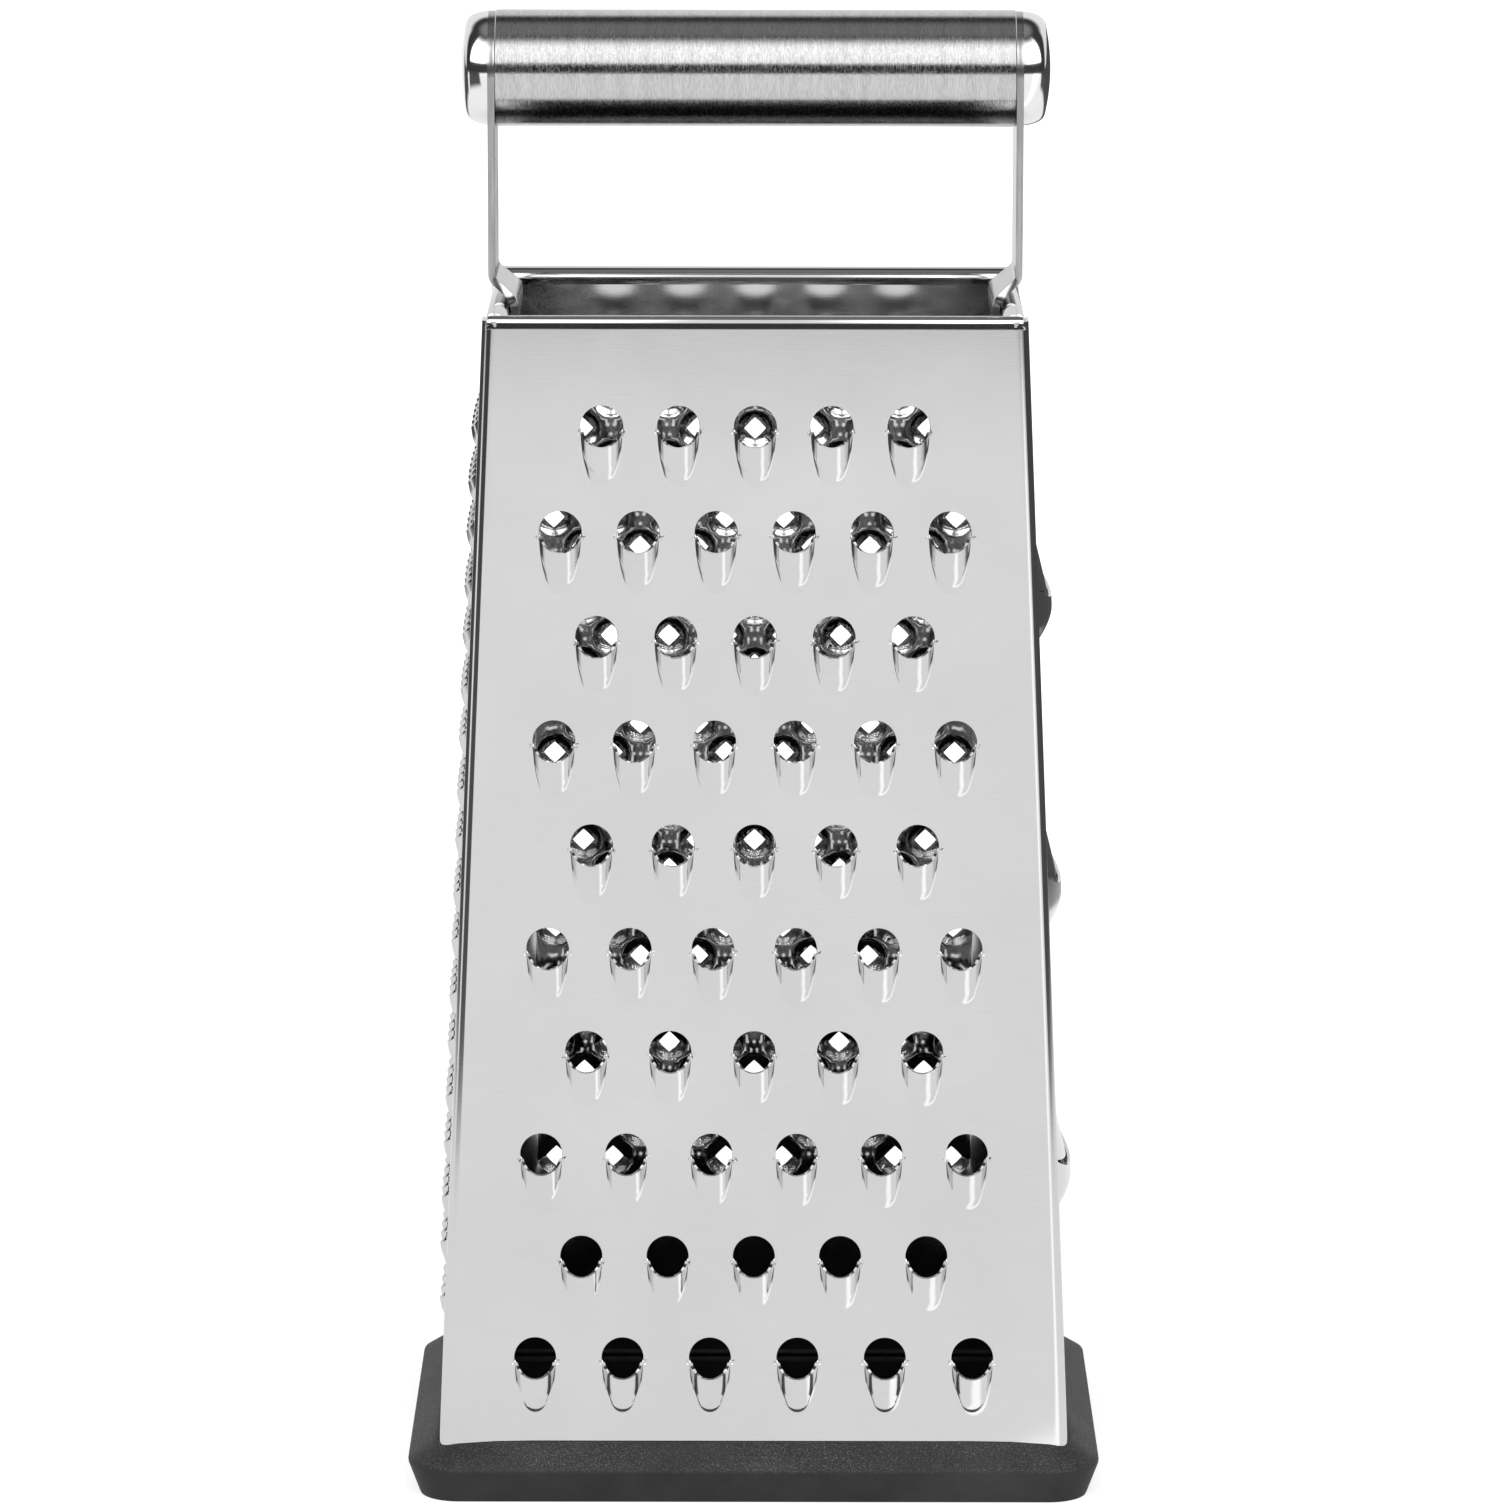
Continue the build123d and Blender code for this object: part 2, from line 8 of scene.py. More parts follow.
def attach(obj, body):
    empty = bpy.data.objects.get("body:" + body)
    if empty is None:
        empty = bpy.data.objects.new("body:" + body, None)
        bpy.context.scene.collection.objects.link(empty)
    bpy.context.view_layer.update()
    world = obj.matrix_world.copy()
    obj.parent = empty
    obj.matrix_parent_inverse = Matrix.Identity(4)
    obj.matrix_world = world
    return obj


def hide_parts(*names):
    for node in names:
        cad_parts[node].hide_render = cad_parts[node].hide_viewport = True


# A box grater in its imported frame. Lengths in the dictionaries are millimetres, the
# finished pieces are metres. The coarse face looks to -Y, the fine face to -X.

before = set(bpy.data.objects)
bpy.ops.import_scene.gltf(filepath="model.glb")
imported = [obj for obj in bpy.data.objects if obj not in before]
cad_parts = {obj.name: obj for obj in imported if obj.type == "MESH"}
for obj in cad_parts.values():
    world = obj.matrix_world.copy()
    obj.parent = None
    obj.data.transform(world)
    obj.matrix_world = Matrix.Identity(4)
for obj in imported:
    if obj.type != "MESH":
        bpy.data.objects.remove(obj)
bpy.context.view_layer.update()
print("frame loaded:", len(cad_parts), "nodes")

body = {
    "rimHeight": 205.5,
    "topWidth": 92.4,
    "topDepth": 62.0,
    "footWidth": 108.8,
    "footDepth": 75.0,
    "ringTop": 10.0,
    "sheetFoot": 2.0,
    "sheet": 0.5,
    "bendRadius": 2.1,
    "lap": 4.0,
    "tuck": 0.02,  # air between a lap and the side sheet behind it
    "rollRadius": 1.85,
    "rollLeg": 1.0,
    "rimSoft": 5.0,  # radius of the rim's soft start, and the angle that it turns
    "rimSoftTurn": 9,
    "rollEnds": [(0.0, 0.3), (0.12, 0.7), (0.4, 0.93), (0.9, 1.0)],  # inwards, and how full
    "cornerDrop": 0.9,
    "faceRollSetBack": 0.63,
    "sideRollSetBack": 4.4,
    "strip": 0.4,  # flat band that keeps bends from shading the face
    "joinDistance": 0.000002,  # metres, for the seams between a sheet's parts
    "creaseAngle": 38,
}
bodyRise = body["rimHeight"] - body["ringTop"]
widthLean = (body["footWidth"] - body["topWidth"]) / 2 / bodyRise
depthLean = (body["footDepth"] - body["topDepth"]) / 2 / bodyRise
widthScale = hypot(1, widthLean)
depthScale = hypot(1, depthLean)
wallTop = body["rimHeight"] - body["rollRadius"]
toMetres = Matrix.Scale(0.001, 4)


def halfWidth(height):
    return body["topWidth"] / 2 + widthLean * (body["rimHeight"] - height)


def halfDepth(height):
    return body["topDepth"] / 2 + depthLean * (body["rimHeight"] - height)


def mix(a, b, share):
    return a + (b - a) * share


def clamped(value):
    return min(1.0, max(0.0, value))


# working helpers


def deselectAll():
    if bpy.context.object and bpy.context.object.mode != "OBJECT":
        bpy.ops.object.mode_set(mode="OBJECT")
    bpy.ops.object.select_all(action="DESELECT")


def pick(piece):
    deselectAll()
    piece.select_set(True)
    bpy.context.view_layer.objects.active = piece


def editAll(piece, operator, **settings):
    # Runs one mesh operator on the whole of a piece.
    pick(piece)
    bpy.ops.object.mode_set(mode="EDIT")
    bpy.ops.mesh.select_all(action="SELECT")
    operator(**settings)
    bpy.ops.object.mode_set(mode="OBJECT")


def weld(piece, distance=0.0004):
    editAll(piece, bpy.ops.mesh.remove_doubles, threshold=distance)


def faceOut(piece):
    editAll(piece, bpy.ops.mesh.normals_make_consistent, inside=False)


def shapedGrid(name, columns, rows, place, wrapped=False):
    # A grid primitive whose vertices are moved to place(column, row), the last column
    # on the first where it goes round.
    deselectAll()
    bpy.ops.mesh.primitive_grid_add(x_subdivisions=columns, y_subdivisions=rows, size=2)
    piece = bpy.context.object
    piece.name = name
    across = columns + 1
    for vertex in piece.data.vertices:
        column, row = vertex.index % across, vertex.index // across
        vertex.co = place(column % columns, row) if wrapped else place(column, row)
    if wrapped:
        weld(piece)
    return piece


def joined(name, pieces):
    deselectAll()
    for piece in pieces:
        piece.select_set(True)
    bpy.context.view_layer.objects.active = pieces[0]
    bpy.ops.object.join()
    whole = bpy.context.object
    whole.name = name
    whole.data.name = name
    return whole


def modify(piece, kind, **settings):
    pick(piece)
    modifier = piece.modifiers.new(kind.title(), kind)
    for key, value in settings.items():
        setattr(modifier, key, value)
    bpy.ops.object.modifier_apply(modifier=modifier.name)


def smooth(piece, angle):
    pick(piece)
    bpy.ops.object.shade_smooth_by_angle(angle=radians(angle))


def copiesAt(source, places):
    copies = []
    for along, up in places:
        twin = source.copy()
        twin.data = source.data.copy()
        twin.data.transform(Matrix.Translation((along, up, 0)))
        bpy.context.collection.objects.link(twin)
        copies.append(twin)
    bpy.data.objects.remove(source)
    return copies


def markBorder(piece, isBorder):
    # Remembers the outer rim of a patch, where the flat sheet is filled in later.
    layer = piece.data.attributes.new("border", "FLOAT", "POINT")
    for vertex in piece.data.vertices:
        layer.data[vertex.index].value = 1.0 if isBorder(vertex) else 0.0


def fillFlat(piece):
    # Fills the flat sheet between its outline and the borders of its patches.
    pick(piece)
    bpy.ops.object.mode_set(mode="EDIT")
    bpy.ops.mesh.select_all(action="DESELECT")
    mesh = bmesh.from_edit_mesh(piece.data)
    layer = mesh.verts.layers.float["border"]
    for edge in mesh.edges:
        rim = len(edge.link_faces) < 2 and all(v[layer] > 0.5 for v in edge.verts)
        edge.select_set(rim)
    bmesh.update_edit_mesh(piece.data)
    bpy.ops.mesh.fill(use_beauty=True)
    bpy.ops.object.mode_set(mode="OBJECT")


def dress(piece, material):
    piece.data.materials.clear()
    piece.data.materials.append(material)


def finished(piece, node, material):
    dress(piece, material)
    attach(piece, "root")
    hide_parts(node)
    return piece


def planeMatrix(origin, across, out):
    # Turns sheet coordinates in millimetres into the frame in metres.
    across, out = Vector(across).normalized(), Vector(out).normalized()
    up = out.cross(across)
    turn = Matrix((across, up, out)).transposed().to_4x4()
    return toMetres @ Matrix.Translation(origin) @ turn


sideInset = body["sheet"] + body["tuck"]
sheetFoot = body["sheetFoot"]
frontPlane = planeMatrix((0, -halfDepth(sheetFoot), sheetFoot), (1, 0, 0), (0, -1, depthLean))
backPlane = planeMatrix((0, halfDepth(sheetFoot), sheetFoot), (-1, 0, 0), (0, 1, depthLean))
sideFoot = halfWidth(sheetFoot) - sideInset * widthScale
rightPlane = planeMatrix((sideFoot, 0, sheetFoot), (0, 1, 0), (1, 0, widthLean))
leftPlane = planeMatrix((-sideFoot, 0, sheetFoot), (0, -1, 0), (-1, 0, widthLean))
faceLength = (wallTop - sheetFoot) * depthScale
sideLength = (wallTop - sheetFoot) * widthScale
rimUpFace = (body["rimHeight"] - sheetFoot) * depthScale
rimUpSide = (body["rimHeight"] - sheetFoot) * widthScale


# materials


def setInputs(node, **values):
    # Inputs are named by their label, or by their number as input0, input1 and so on.
    for key, value in values.items():
        name = key.replace("_", " ")
        slot = node.inputs[int(name[5:])] if name.startswith("input") else node.inputs[name]
        if isinstance(value, Shade):
            value.tree.links.new(value.socket, slot)
        else:
            slot.default_value = value


class Shade:
    # One socket of a shader tree, with arithmetic.
    def __init__(self, tree, socket):
        self.tree, self.socket = tree, socket

    def node(self, kind, settings=None, output=0, **inputs):
        made = self.tree.nodes.new(kind)
        for key, value in (settings or {}).items():
            setattr(made, key, value)
        setInputs(made, **inputs)
        return Shade(self.tree, made.outputs[output])

    def math(self, operation, *others):
        inputs = {f"input{i}": v for i, v in enumerate((self, *others))}
        return self.node("ShaderNodeMath", {"operation": operation}, **inputs)

    def __add__(self, other):
        return self.math("ADD", other)

    def __mul__(self, other):
        return self.math("MULTIPLY", other)

    __radd__, __rmul__ = __add__, __mul__

    def __sub__(self, other):
        return self.math("SUBTRACT", other)

    def __rsub__(self, other):
        return self.node("ShaderNodeMath", {"operation": "SUBTRACT"}, input0=other, input1=self)

    def between(self, low, high):
        # 0 below low, 1 above high, smooth in between.
        settings = {"interpolation_type": "SMOOTHSTEP"}
        return self.node("ShaderNodeMapRange", settings, input0=self, input1=low, input2=high)

    def axis(self, index):
        return self.node("ShaderNodeSeparateXYZ", output=index, input0=self)

    def stretched(self, x, y, z):
        return self.node("ShaderNodeMapping", Vector=self, Scale=(x, y, z))

    def noise(self, scale, detail=2.0, roughness=0.5):
        values = {"Vector": self, "Scale": scale, "Detail": detail, "Roughness": roughness}
        return self.node("ShaderNodeTexNoise", **values)

    def blended(self, first, second):
        colours = {"input6": first, "input7": second}
        return self.node("ShaderNodeMix", {"data_type": "RGBA"}, 2, input0=self, **colours)

    def bump(self, strength, distance, over=None):
        # Relief from this value, laid over another bump if there is one.
        values = {"Strength": strength, "Distance": distance, "Height": self}
        if over:
            values["Normal"] = over
        return self.node("ShaderNodeBump", **values)


def newMaterial(name):
    material = bpy.data.materials.new(name)
    material.use_nodes = True
    tree = material.node_tree
    place = Shade(tree, None).node("ShaderNodeTexCoord", output="Object")
    return material, tree.nodes["Principled BSDF"], place


def grey(level, warmth=0.0):
    return (level * (1 + warmth), level, level * (1 - warmth), 1)


def makePanelSteel():
    look = {"dark": 0.61, "light": 0.66, "roughness": 0.1, "wear": 0.05, "tornAndShaded": 0.12}
    material, shader, at = newMaterial("panelSteel")
    clouds = at.noise(28, 3, 0.55)
    grain = at.stretched(0.03, 0.03, 1).noise(5200, 2, 0.6)
    # The torn flanks beside each nose are rougher, and their colour is darkened to a 0.12 grey as
    # painted shade.
    tornAndShaded = at.node("ShaderNodeAttribute", {"attribute_name": "shearAndShade"}, 2).between(0.3, 0.9)
    streaks = at.stretched(0.2, 0.2, 1).noise(3000, 1)
    tornAndShaded = tornAndShaded * (0.75 + streaks * 0.4)
    shade = (clouds * 0.7 + grain * 0.3).between(0.25, 0.75)
    steel = shade.blended(grey(look["dark"]), grey(look["light"]))
    waves = at.noise(14, 1).bump(0.15, 0.0004)
    setInputs(
        shader,
        Base_Color=tornAndShaded.blended(steel, grey(look["tornAndShaded"])),
        Metallic=1.0,
        Roughness=look["roughness"] + (at.noise(60, 3) - 0.5) * look["wear"] + tornAndShaded * 0.15,
        Normal=grain.bump(0.2, 0.000006, waves),
    )
    return material


def makeTubeSteel():
    look = {"dark": 0.46, "light": 0.64, "smooth": 0.1, "rough": 0.22}
    material, shader, at = newMaterial("tubeSteel")
    turned = at.stretched(1, 0.1, 0.1).noise(6500, 3, 0.7)
    bands = at.stretched(1, 0.02, 0.02).noise(420, 2)
    specks = at.stretched(1, 0.3, 0.3).noise(5200, 2, 0.6).between(0.4, 0.62)
    shade = (turned * 0.7 + bands * 0.3).between(0.3, 0.7)
    setInputs(
        shader,
        Base_Color=shade.blended(grey(look["dark"]), grey(look["light"])),
        Metallic=1.0,
        Roughness=look["smooth"] + specks * (look["rough"] - look["smooth"]),
        Normal=turned.bump(0.6, 0.00003),
    )
    return material


def makeStrapSteel():
    look = {"dark": 0.38, "light": 0.5, "roughness": 0.2}
    material, shader, at = newMaterial("strapSteel")
    drawn = at.stretched(1, 1, 0.05).noise(1500, 2, 0.6)
    setInputs(
        shader,
        Base_Color=drawn.between(0.3, 0.7).blended(grey(look["dark"]), grey(look["light"])),
        Metallic=1.0,
        Roughness=look["roughness"] + (at.noise(120) - 0.5) * 0.08,
        Normal=drawn.bump(0.08, 0.00005),
    )
    return material


def makeCapChrome():
    material, shader, at = newMaterial("capChrome")
    setInputs(
        shader,
        Base_Color=at.noise(90, 2).between(0.2, 0.8).blended(grey(0.80), grey(0.86)),
        Metallic=1.0,
        Roughness=0.07 + at.noise(220, 3) * 0.05,
        Normal=at.noise(40, 1).bump(0.1, 0.0002),
    )
    return material


def makeRingRubber():
    look = {
        "dark": 0.007,
        "light": 0.015,
        "paintedGlint": 0.075,
        "roughness": 0.62,
        "shoulder": (0.0056, 0.0066),  # heights in metres
        "parting": (0.00575, 0.0059, 0.00605, 0.0062),
    }
    material, shader, at = newMaterial("ringRubber")
    height = at.axis(2)
    grain = at.noise(3800, 2, 0.7)
    patchy = 0.55 + at.noise(90, 2).between(0.3, 0.7) * 0.45
    shoulder = height.between(*look["shoulder"]) * patchy
    # Light specks of colour on the shoulder only are painted glints, a painted highlight that
    # makes the ring's top lighter than its wall.
    paintedGlints = grain.between(0.5, 0.7) * shoulder
    rubber = at.noise(110, 3, 0.6).between(0.25, 0.75)
    rubber = rubber.blended(grey(look["dark"], 0.02), grey(look["light"], 0.02))
    parting = height.between(*look["parting"][:2]) * (1 - height.between(*look["parting"][2:]))
    rubber = (parting * 0.5).blended(rubber, grey(0.012))
    setInputs(
        shader,
        Base_Color=paintedGlints.blended(rubber, grey(look["paintedGlint"])),
        Roughness=look["roughness"] - paintedGlints * 0.2,
        Specular_IOR_Level=0.35,
        Normal=(grain * (0.2 + shoulder * 0.8)).bump(0.45, 0.00012),
    )
    return material


def makePlastic(name, dark, light, roughness):
    material, shader, at = newMaterial(name)
    setInputs(
        shader,
        Base_Color=at.noise(150, 3).between(0.3, 0.7).blended(grey(dark), grey(light)),
        Roughness=roughness + (at.noise(400) - 0.5) * 0.1,
        Normal=at.noise(1400, 2).bump(0.15, 0.0001),
    )
    return material


def makeFixingSteel():
    material, shader, at = newMaterial("fixingSteel")
    setInputs(
        shader,
        Base_Color=at.noise(300, 3).between(0.3, 0.7).blended(grey(0.5), grey(0.62)),
        Metallic=1.0,
        Roughness=0.3 + (at.noise(500) - 0.5) * 0.1,
        Normal=at.noise(900, 2).bump(0.1, 0.00005),
    )
    return material


panelSteel = makePanelSteel()
tubeSteel = makeTubeSteel()
strapSteel = makeStrapSteel()
capChrome = makeCapChrome()
ringRubber = makeRingRubber()
plugPlastic = makePlastic("plugPlastic", 0.08, 0.11, 0.5)
retainerPlastic = makePlastic("retainerPlastic", 0.13, 0.17, 0.45)
fixingSteel = makeFixingSteel()
print("materials ready")


# teeth

# how the torn flanks' painted shade fades out across and along them
tornShadeFade = {"across": 0.25, "along": 1.5}
# how the line where a nose meets the sheet is found
search = {"low": 0.4, "high": 1.6, "halvings": 30, "nearby": 0.02, "steep": 60, "rounds": 6}


def toothPatch(name, tooth):
    # A round hole whose lower half is lifted into a sloping nose. Rings run from the
    # hole's edge outwards, columns go round from the right ear over the top.
    hole, punch, proud = tooth["hole"], tooth["punch"], tooth["proud"]
    slope = radians(tooth["slope"])
    lipDrop = hole - sqrt(hole**2 - (hole - proud / 2) ** 2)
    axisTop = proud - punch
    tipY, tipZ = -tooth["reach"] * cos(slope), axisTop - tooth["reach"] * sin(slope)
    middle = Vector((0, -lipDrop))
    lipReach = hole + tooth["lipSink"] - lipDrop

    def domeHeight(x, y):
        if y > tipY:
            axisZ = axisTop + y * tan(slope)
            return axisZ + sqrt(max(0.0, punch**2 - x * x)) / cos(slope)
        return tipZ + sqrt(max(0.0, punch**2 - x * x - ((y - tipY) / tooth["tipStretch"]) ** 2))

    def lipPoint(x):
        lift = axisTop - tan(slope) * lipDrop + sqrt(max(0.0, punch**2 - x * x)) / cos(slope)
        lift /= 1 + tan(slope) * lipReach / proud
        return Vector((x, -lipDrop - lipReach * lift / proud)), lift

    earHalf = sqrt(punch**2 - (cos(slope) * (tan(slope) * lipDrop - axisTop)) ** 2)
    noseDeep = -tipY + punch * tooth["tipStretch"] - lipDrop

    def outlinePoint(turn):
        # Where the nose's surface sinks to the sheet, found by halving.
        ray = Vector((earHalf * cos(turn), noseDeep * sin(turn)))
        low, high = search["low"], search["high"]
        for _ in range(search["halvings"]):
            share = (low + high) / 2
            spot = middle + ray * share
            if domeHeight(spot.x, spot.y) > 0:
                low = share
            else:
                high = share
        return middle + ray * low

    def foot(turn):
        # Where the nose meets the sheet: the flat end of the fillet, its way outwards,
        # its radius and the angle that it turns.
        spot, nearby = outlinePoint(turn), search["nearby"]
        along = outlinePoint(turn + nearby) - outlinePoint(turn - nearby)
        away = Vector((along.y, -along.x)).normalized()
        if away.dot(spot - middle) < 0:
            away = -away
        radius = mix(tooth["earFillet"], tooth["tipFillet"], sin(turn) ** 2)
        steep = radians(search["steep"])
        for _ in range(search["rounds"]):
            inside = max(0.03, radius * tan(steep / 2) * cos(steep))
            inner = spot - away * inside
            steep = atan2(max(0.02, domeHeight(inner.x, inner.y)), inside)
        if abs(sin(turn)) < 0.001:
            steep = 0.0  # at the ears
        return spot + away * radius * tan(steep / 2), away, radius, steep

    shares, filletSteps = tooth["shares"], tooth["filletSteps"]
    rings = len(shares) + filletSteps + (2 if tooth["margin"] else 1)
    upper, lower = tooth["upperSteps"], tooth["lowerSteps"]
    columns = upper + lower
    earTurn = asin(lipDrop / hole)
    edge = tooth["edge"]
    edgeArc = [(0.0, -1.0), (0.3, -0.3), (1.0, 0.0)]  # outwards and up, as shares of the edge
    feet = {}

    def place(column, row):
        if column < upper:
            turn = mix(-earTurn, pi + earTurn, column / (upper - 1))
            if row < len(edgeArc):
                outward, up = edgeArc[row]
                reach, depth = hole + edge * outward, edge * up
            else:
                reach = hole + edge + tooth["collar"] * (row - 2) / (rings - 3)
                depth = 0.0
            return (reach * cos(turn), reach * sin(turn), depth)
        turn = mix(pi, 2 * pi, (column - upper) / (lower - 1))
        if column not in feet:
            feet[column] = foot(turn)
        end, away, radius, steep = feet[column]
        if row >= len(shares):
            step = row - len(shares)
            if step > filletSteps:
                end = end + away * tooth["margin"]
                return (end.x, end.y, 0.0)
            angle = steep * (1 - step / filletSteps)
            spot = end - away * radius * sin(angle)
            return (spot.x, spot.y, radius * (1 - cos(angle)))
        lip, lift = lipPoint(earHalf * cos(turn))
        if row == 0:
            return (lip.x, lip.y, lift)
        spot = lip.lerp(end - away * radius * sin(steep), shares[row])
        return (spot.x, spot.y, max(domeHeight(spot.x, spot.y), 0.0))

    patch = shapedGrid(name, columns, rings - 1, lambda c, r: place(c % columns, r))
    # the torn flanks are marked for the material, which makes them rougher and darkens them as
    # painted shade, strongest at the hole
    shearAndShade = patch.data.attributes.new("shearAndShade", "FLOAT", "POINT")
    for vertex in patch.data.vertices:
        column, row = vertex.index % (columns + 1), vertex.index // (columns + 1)
        if upper < column % columns < columns - 1 and row < len(shares) + filletSteps:
            end = feet[column][0]
            far = hypot(vertex.co.x - end.x, vertex.co.y - end.y)
            width = clamped((tooth["tornShadeWidth"] - far) / tornShadeFade["across"])
            length = clamped((vertex.co.y + lipDrop + tooth["tear"]) / tornShadeFade["along"])
            shearAndShade.data[vertex.index].value = width * length
    markBorder(patch, lambda v: v.index // (columns + 1) == rings - 1)
    weld(patch)
    return patch


def staggered(rows, counts, rowPitch, topPitch, footPitch, firstRow, rim):
    # Rows from the top down, with two counts in turn.
    places = []
    for row in range(rows):
        count = counts[row % 2]
        pitch = mix(topPitch, footPitch, row / (rows - 1))
        for column in range(count):
            places.append(((column - (count - 1) / 2) * pitch, rim - firstRow - row * rowPitch))
    return places


def outlineSheet(name, footHalf, topHalf, length):
    # The flat sheet's outline, as a face that is opened to its four edges.
    corners = [(-footHalf, 0), (footHalf, 0), (-topHalf, length), (topHalf, length)]
    deselectAll()
    bpy.ops.mesh.primitive_plane_add(size=2)
    piece = bpy.context.object
    piece.name = name
    for vertex, corner in zip(piece.data.vertices, corners):
        vertex.co = (*corner, 0)
    editAll(piece, bpy.ops.mesh.delete, type="ONLY_FACE")
    markBorder(piece, lambda v: True)
    return piece


def flatSheet(name, footHalf, topHalf, length, drop, patches):
    # The flat sheet up to a little below its rim, filled around its patches.
    low = length - drop
    outline = outlineSheet(name, footHalf, mix(footHalf, topHalf, low / length), low)
    sheet = joined(name, [outline, *patches])
    weld(sheet)
    fillFlat(sheet)
    return sheet


def rimPath(length):
    # The rim's line as (out, up): a soft start, a tight top, then down inside.
    soft, softTurn, steps = body["rimSoft"], radians(body["rimSoftTurn"]), 7
    rise, back = body["rollRadius"], 2 * body["rollRadius"]
    tight = (rise - soft * sin(softTurn)) / (1 - sin(softTurn))
    path = [(0.0, length - body["strip"])]
    softSteps = 3
    for step in range(softSteps + 1):
        turn = softTurn * step / softSteps
        path.append((-soft * (1 - cos(turn)), length + soft * sin(turn)))
    side, foot = path[-1]
    middle = (side - tight * cos(softTurn), foot - tight * sin(softTurn))
    for step in range(1, steps + 1):
        turn = mix(softTurn, pi / 2, step / steps)
        path.append((middle[0] + tight * cos(turn), middle[1] + tight * sin(turn)))
    inner = back + middle[0]
    for step in range(1, steps + 1):
        turn = pi / 2 + pi / 2 * step / steps
        path.append((middle[0] + inner * cos(turn), length + rise - rise * (1 - sin(turn))))
    path.append((-back, length - body["rollLeg"]))
    return path


def rimRoll(name, half, length):
    # The curled rim, drawn in at both ends so that it looks closed there.
    path = rimPath(length)
    ends = [(half - inwards, share) for inwards, share in body["rollEnds"]]
    stations = [(-across, share) for across, share in ends] + ends[::-1]

    def place(column, row):
        across, share = stations[column]
        out, up = path[row]
        if row < 2:
            return (across, up, out)
        return (across, mix(length, up, share), mix(-body["rollRadius"], out, share))

    return shapedGrid(name, len(stations) - 1, len(path) - 1, place)


coarseTooth = {
    "hole": 3.6,
    "punch": 3.75,
    "proud": 2.8,
    "reach": 7.0,
    "tipStretch": 1.2,
    "slope": 15,
    "lipSink": 0.9,
    "edge": 0.12,
    "collar": 0.7,
    "upperSteps": 23,
    "lowerSteps": 23,
    "shares": [0, 0.2, 0.45, 0.66, 0.8, 0.9, 0.97],
    "filletSteps": 4,
    "earFillet": 0.08,
    "tipFillet": 2.2,
    "margin": 0.3,
    "tear": 4.6,
    "tornShadeWidth": 1.1,
}
coarseRows = {
    "rows": 10,
    "counts": (5, 6),
    "rowPitch": 18.0,
    "topPitch": 13.0,
    "footPitch": 15.1,
    "firstRow": 18.8,
}


def cornerStrip(name, side, facing):
    # The bend and the lap of one corner, between its foot and its top.
    radius, steps = body["bendRadius"], 10
    profile = [(-body["strip"], 0.0), (0.0, 0.0)]
    for step in range(1, steps + 1):
        turn = pi / 2 * step / steps
        profile.append((radius * sin(turn), radius * (1 - cos(turn))))
    profile.append((radius, radius + body["lap"]))
    levels = [sheetFoot, wallTop - body["strip"], wallTop, body["rimHeight"] - body["cornerDrop"]]

    def place(column, row):
        out, back = profile[column]
        level = levels[row]
        x = side * (halfWidth(level) - radius + out)
        y = facing * (halfDepth(level) - back)
        return (x, y, level)

    return shapedGrid(name, len(profile) - 1, len(levels) - 1, place)


def orient(piece, outward):
    # Makes an open sheet's faces look outward.
    faceOut(piece)
    total = sum((f.normal * f.area for f in piece.data.polygons), Vector())
    if total.dot(outward) < 0:
        piece.data.flip_normals()


def thicken(sheet, outward):
    # Closes the seams between a sheet's parts and gives it its thickness inwards.
    weld(sheet, body["joinDistance"])
    orient(sheet, outward)
    modify(sheet, "SOLIDIFY", thickness=body["sheet"] / 1000, offset=-1)


def buildFace(name, facing, plane, patches, node, spikes=None):
    # Front or back: flat sheet with its patches, two corners and the rim.
    radius = body["bendRadius"]
    footHalf = halfWidth(sheetFoot) - radius - body["strip"]
    topHalf = halfWidth(wallTop) - radius - body["strip"]
    drop = body["strip"] * depthScale
    sheet = flatSheet(name, footHalf, topHalf, faceLength, drop, patches)
    rollHalf = halfWidth(wallTop) - body["faceRollSetBack"]
    joined(name, [sheet, rimRoll(name + "Roll", rollHalf, faceLength)])
    sheet.data.transform(plane)
    corners = []
    for side in (-1, 1):
        corner = cornerStrip(name + "Corner", side, facing)
        corner.data.transform(toMetres)
        corners.append(corner)
    thicken(joined(name, [sheet, *corners]), Vector((0, facing, 0)))
    if spikes:
        spikes.data.transform(plane)
        faceOut(spikes)
        joined(name, [sheet, spikes])
    smooth(sheet, body["creaseAngle"])
    return finished(sheet, node, panelSteel)


coarsePlaces = staggered(*coarseRows.values(), rimUpFace)
coarsePatches = copiesAt(toothPatch("coarseTooth", coarseTooth), coarsePlaces)
frontPanel = buildFace("frontPanel", -1, frontPlane, coarsePatches, "front_panel")
print("front panel:", len(coarsePlaces), "teeth,", len(frontPanel.data.polygons), "faces")


# rasp face

rasp = {
    "dimple": 3.6,
    "rise": 0.9,
    "holeHalf": 2.0,  # from the middle of the hole to a corner
    "fullness": 1.1,  # above 1 the sides of the hole bow out
    "spike": 1.1,  # how far the spikes stand out
    "spikeLean": 2.3,  # their tips' distance from the middle
    "spikeThick": 0.4,
    "spikeSink": (0.1, 0.3),  # how deep its inner and outer side start
    "spikeSpread": 0.6,  # radians to each side of its middle
    "rings": [(1.0, 0.0), (0.94, 0.03), (0.86, 0.2), (0.55, 0.62), (0.25, 0.9), (0.0, 1.0)],
}
raspRows = {
    "rows": 28,
    "counts": (8, 7),
    "rowPitch": 5.38,
    "topPitch": 10.23,
    "footPitch": 10.23,
    "firstRow": 24.0,
}


def raspEdge(turn):
    # The hole's edge: a square on its corner with sides that bow out a little.
    full = rasp["fullness"]
    return rasp["holeHalf"] / (abs(cos(turn)) ** full + abs(sin(turn)) ** full) ** (1 / full)


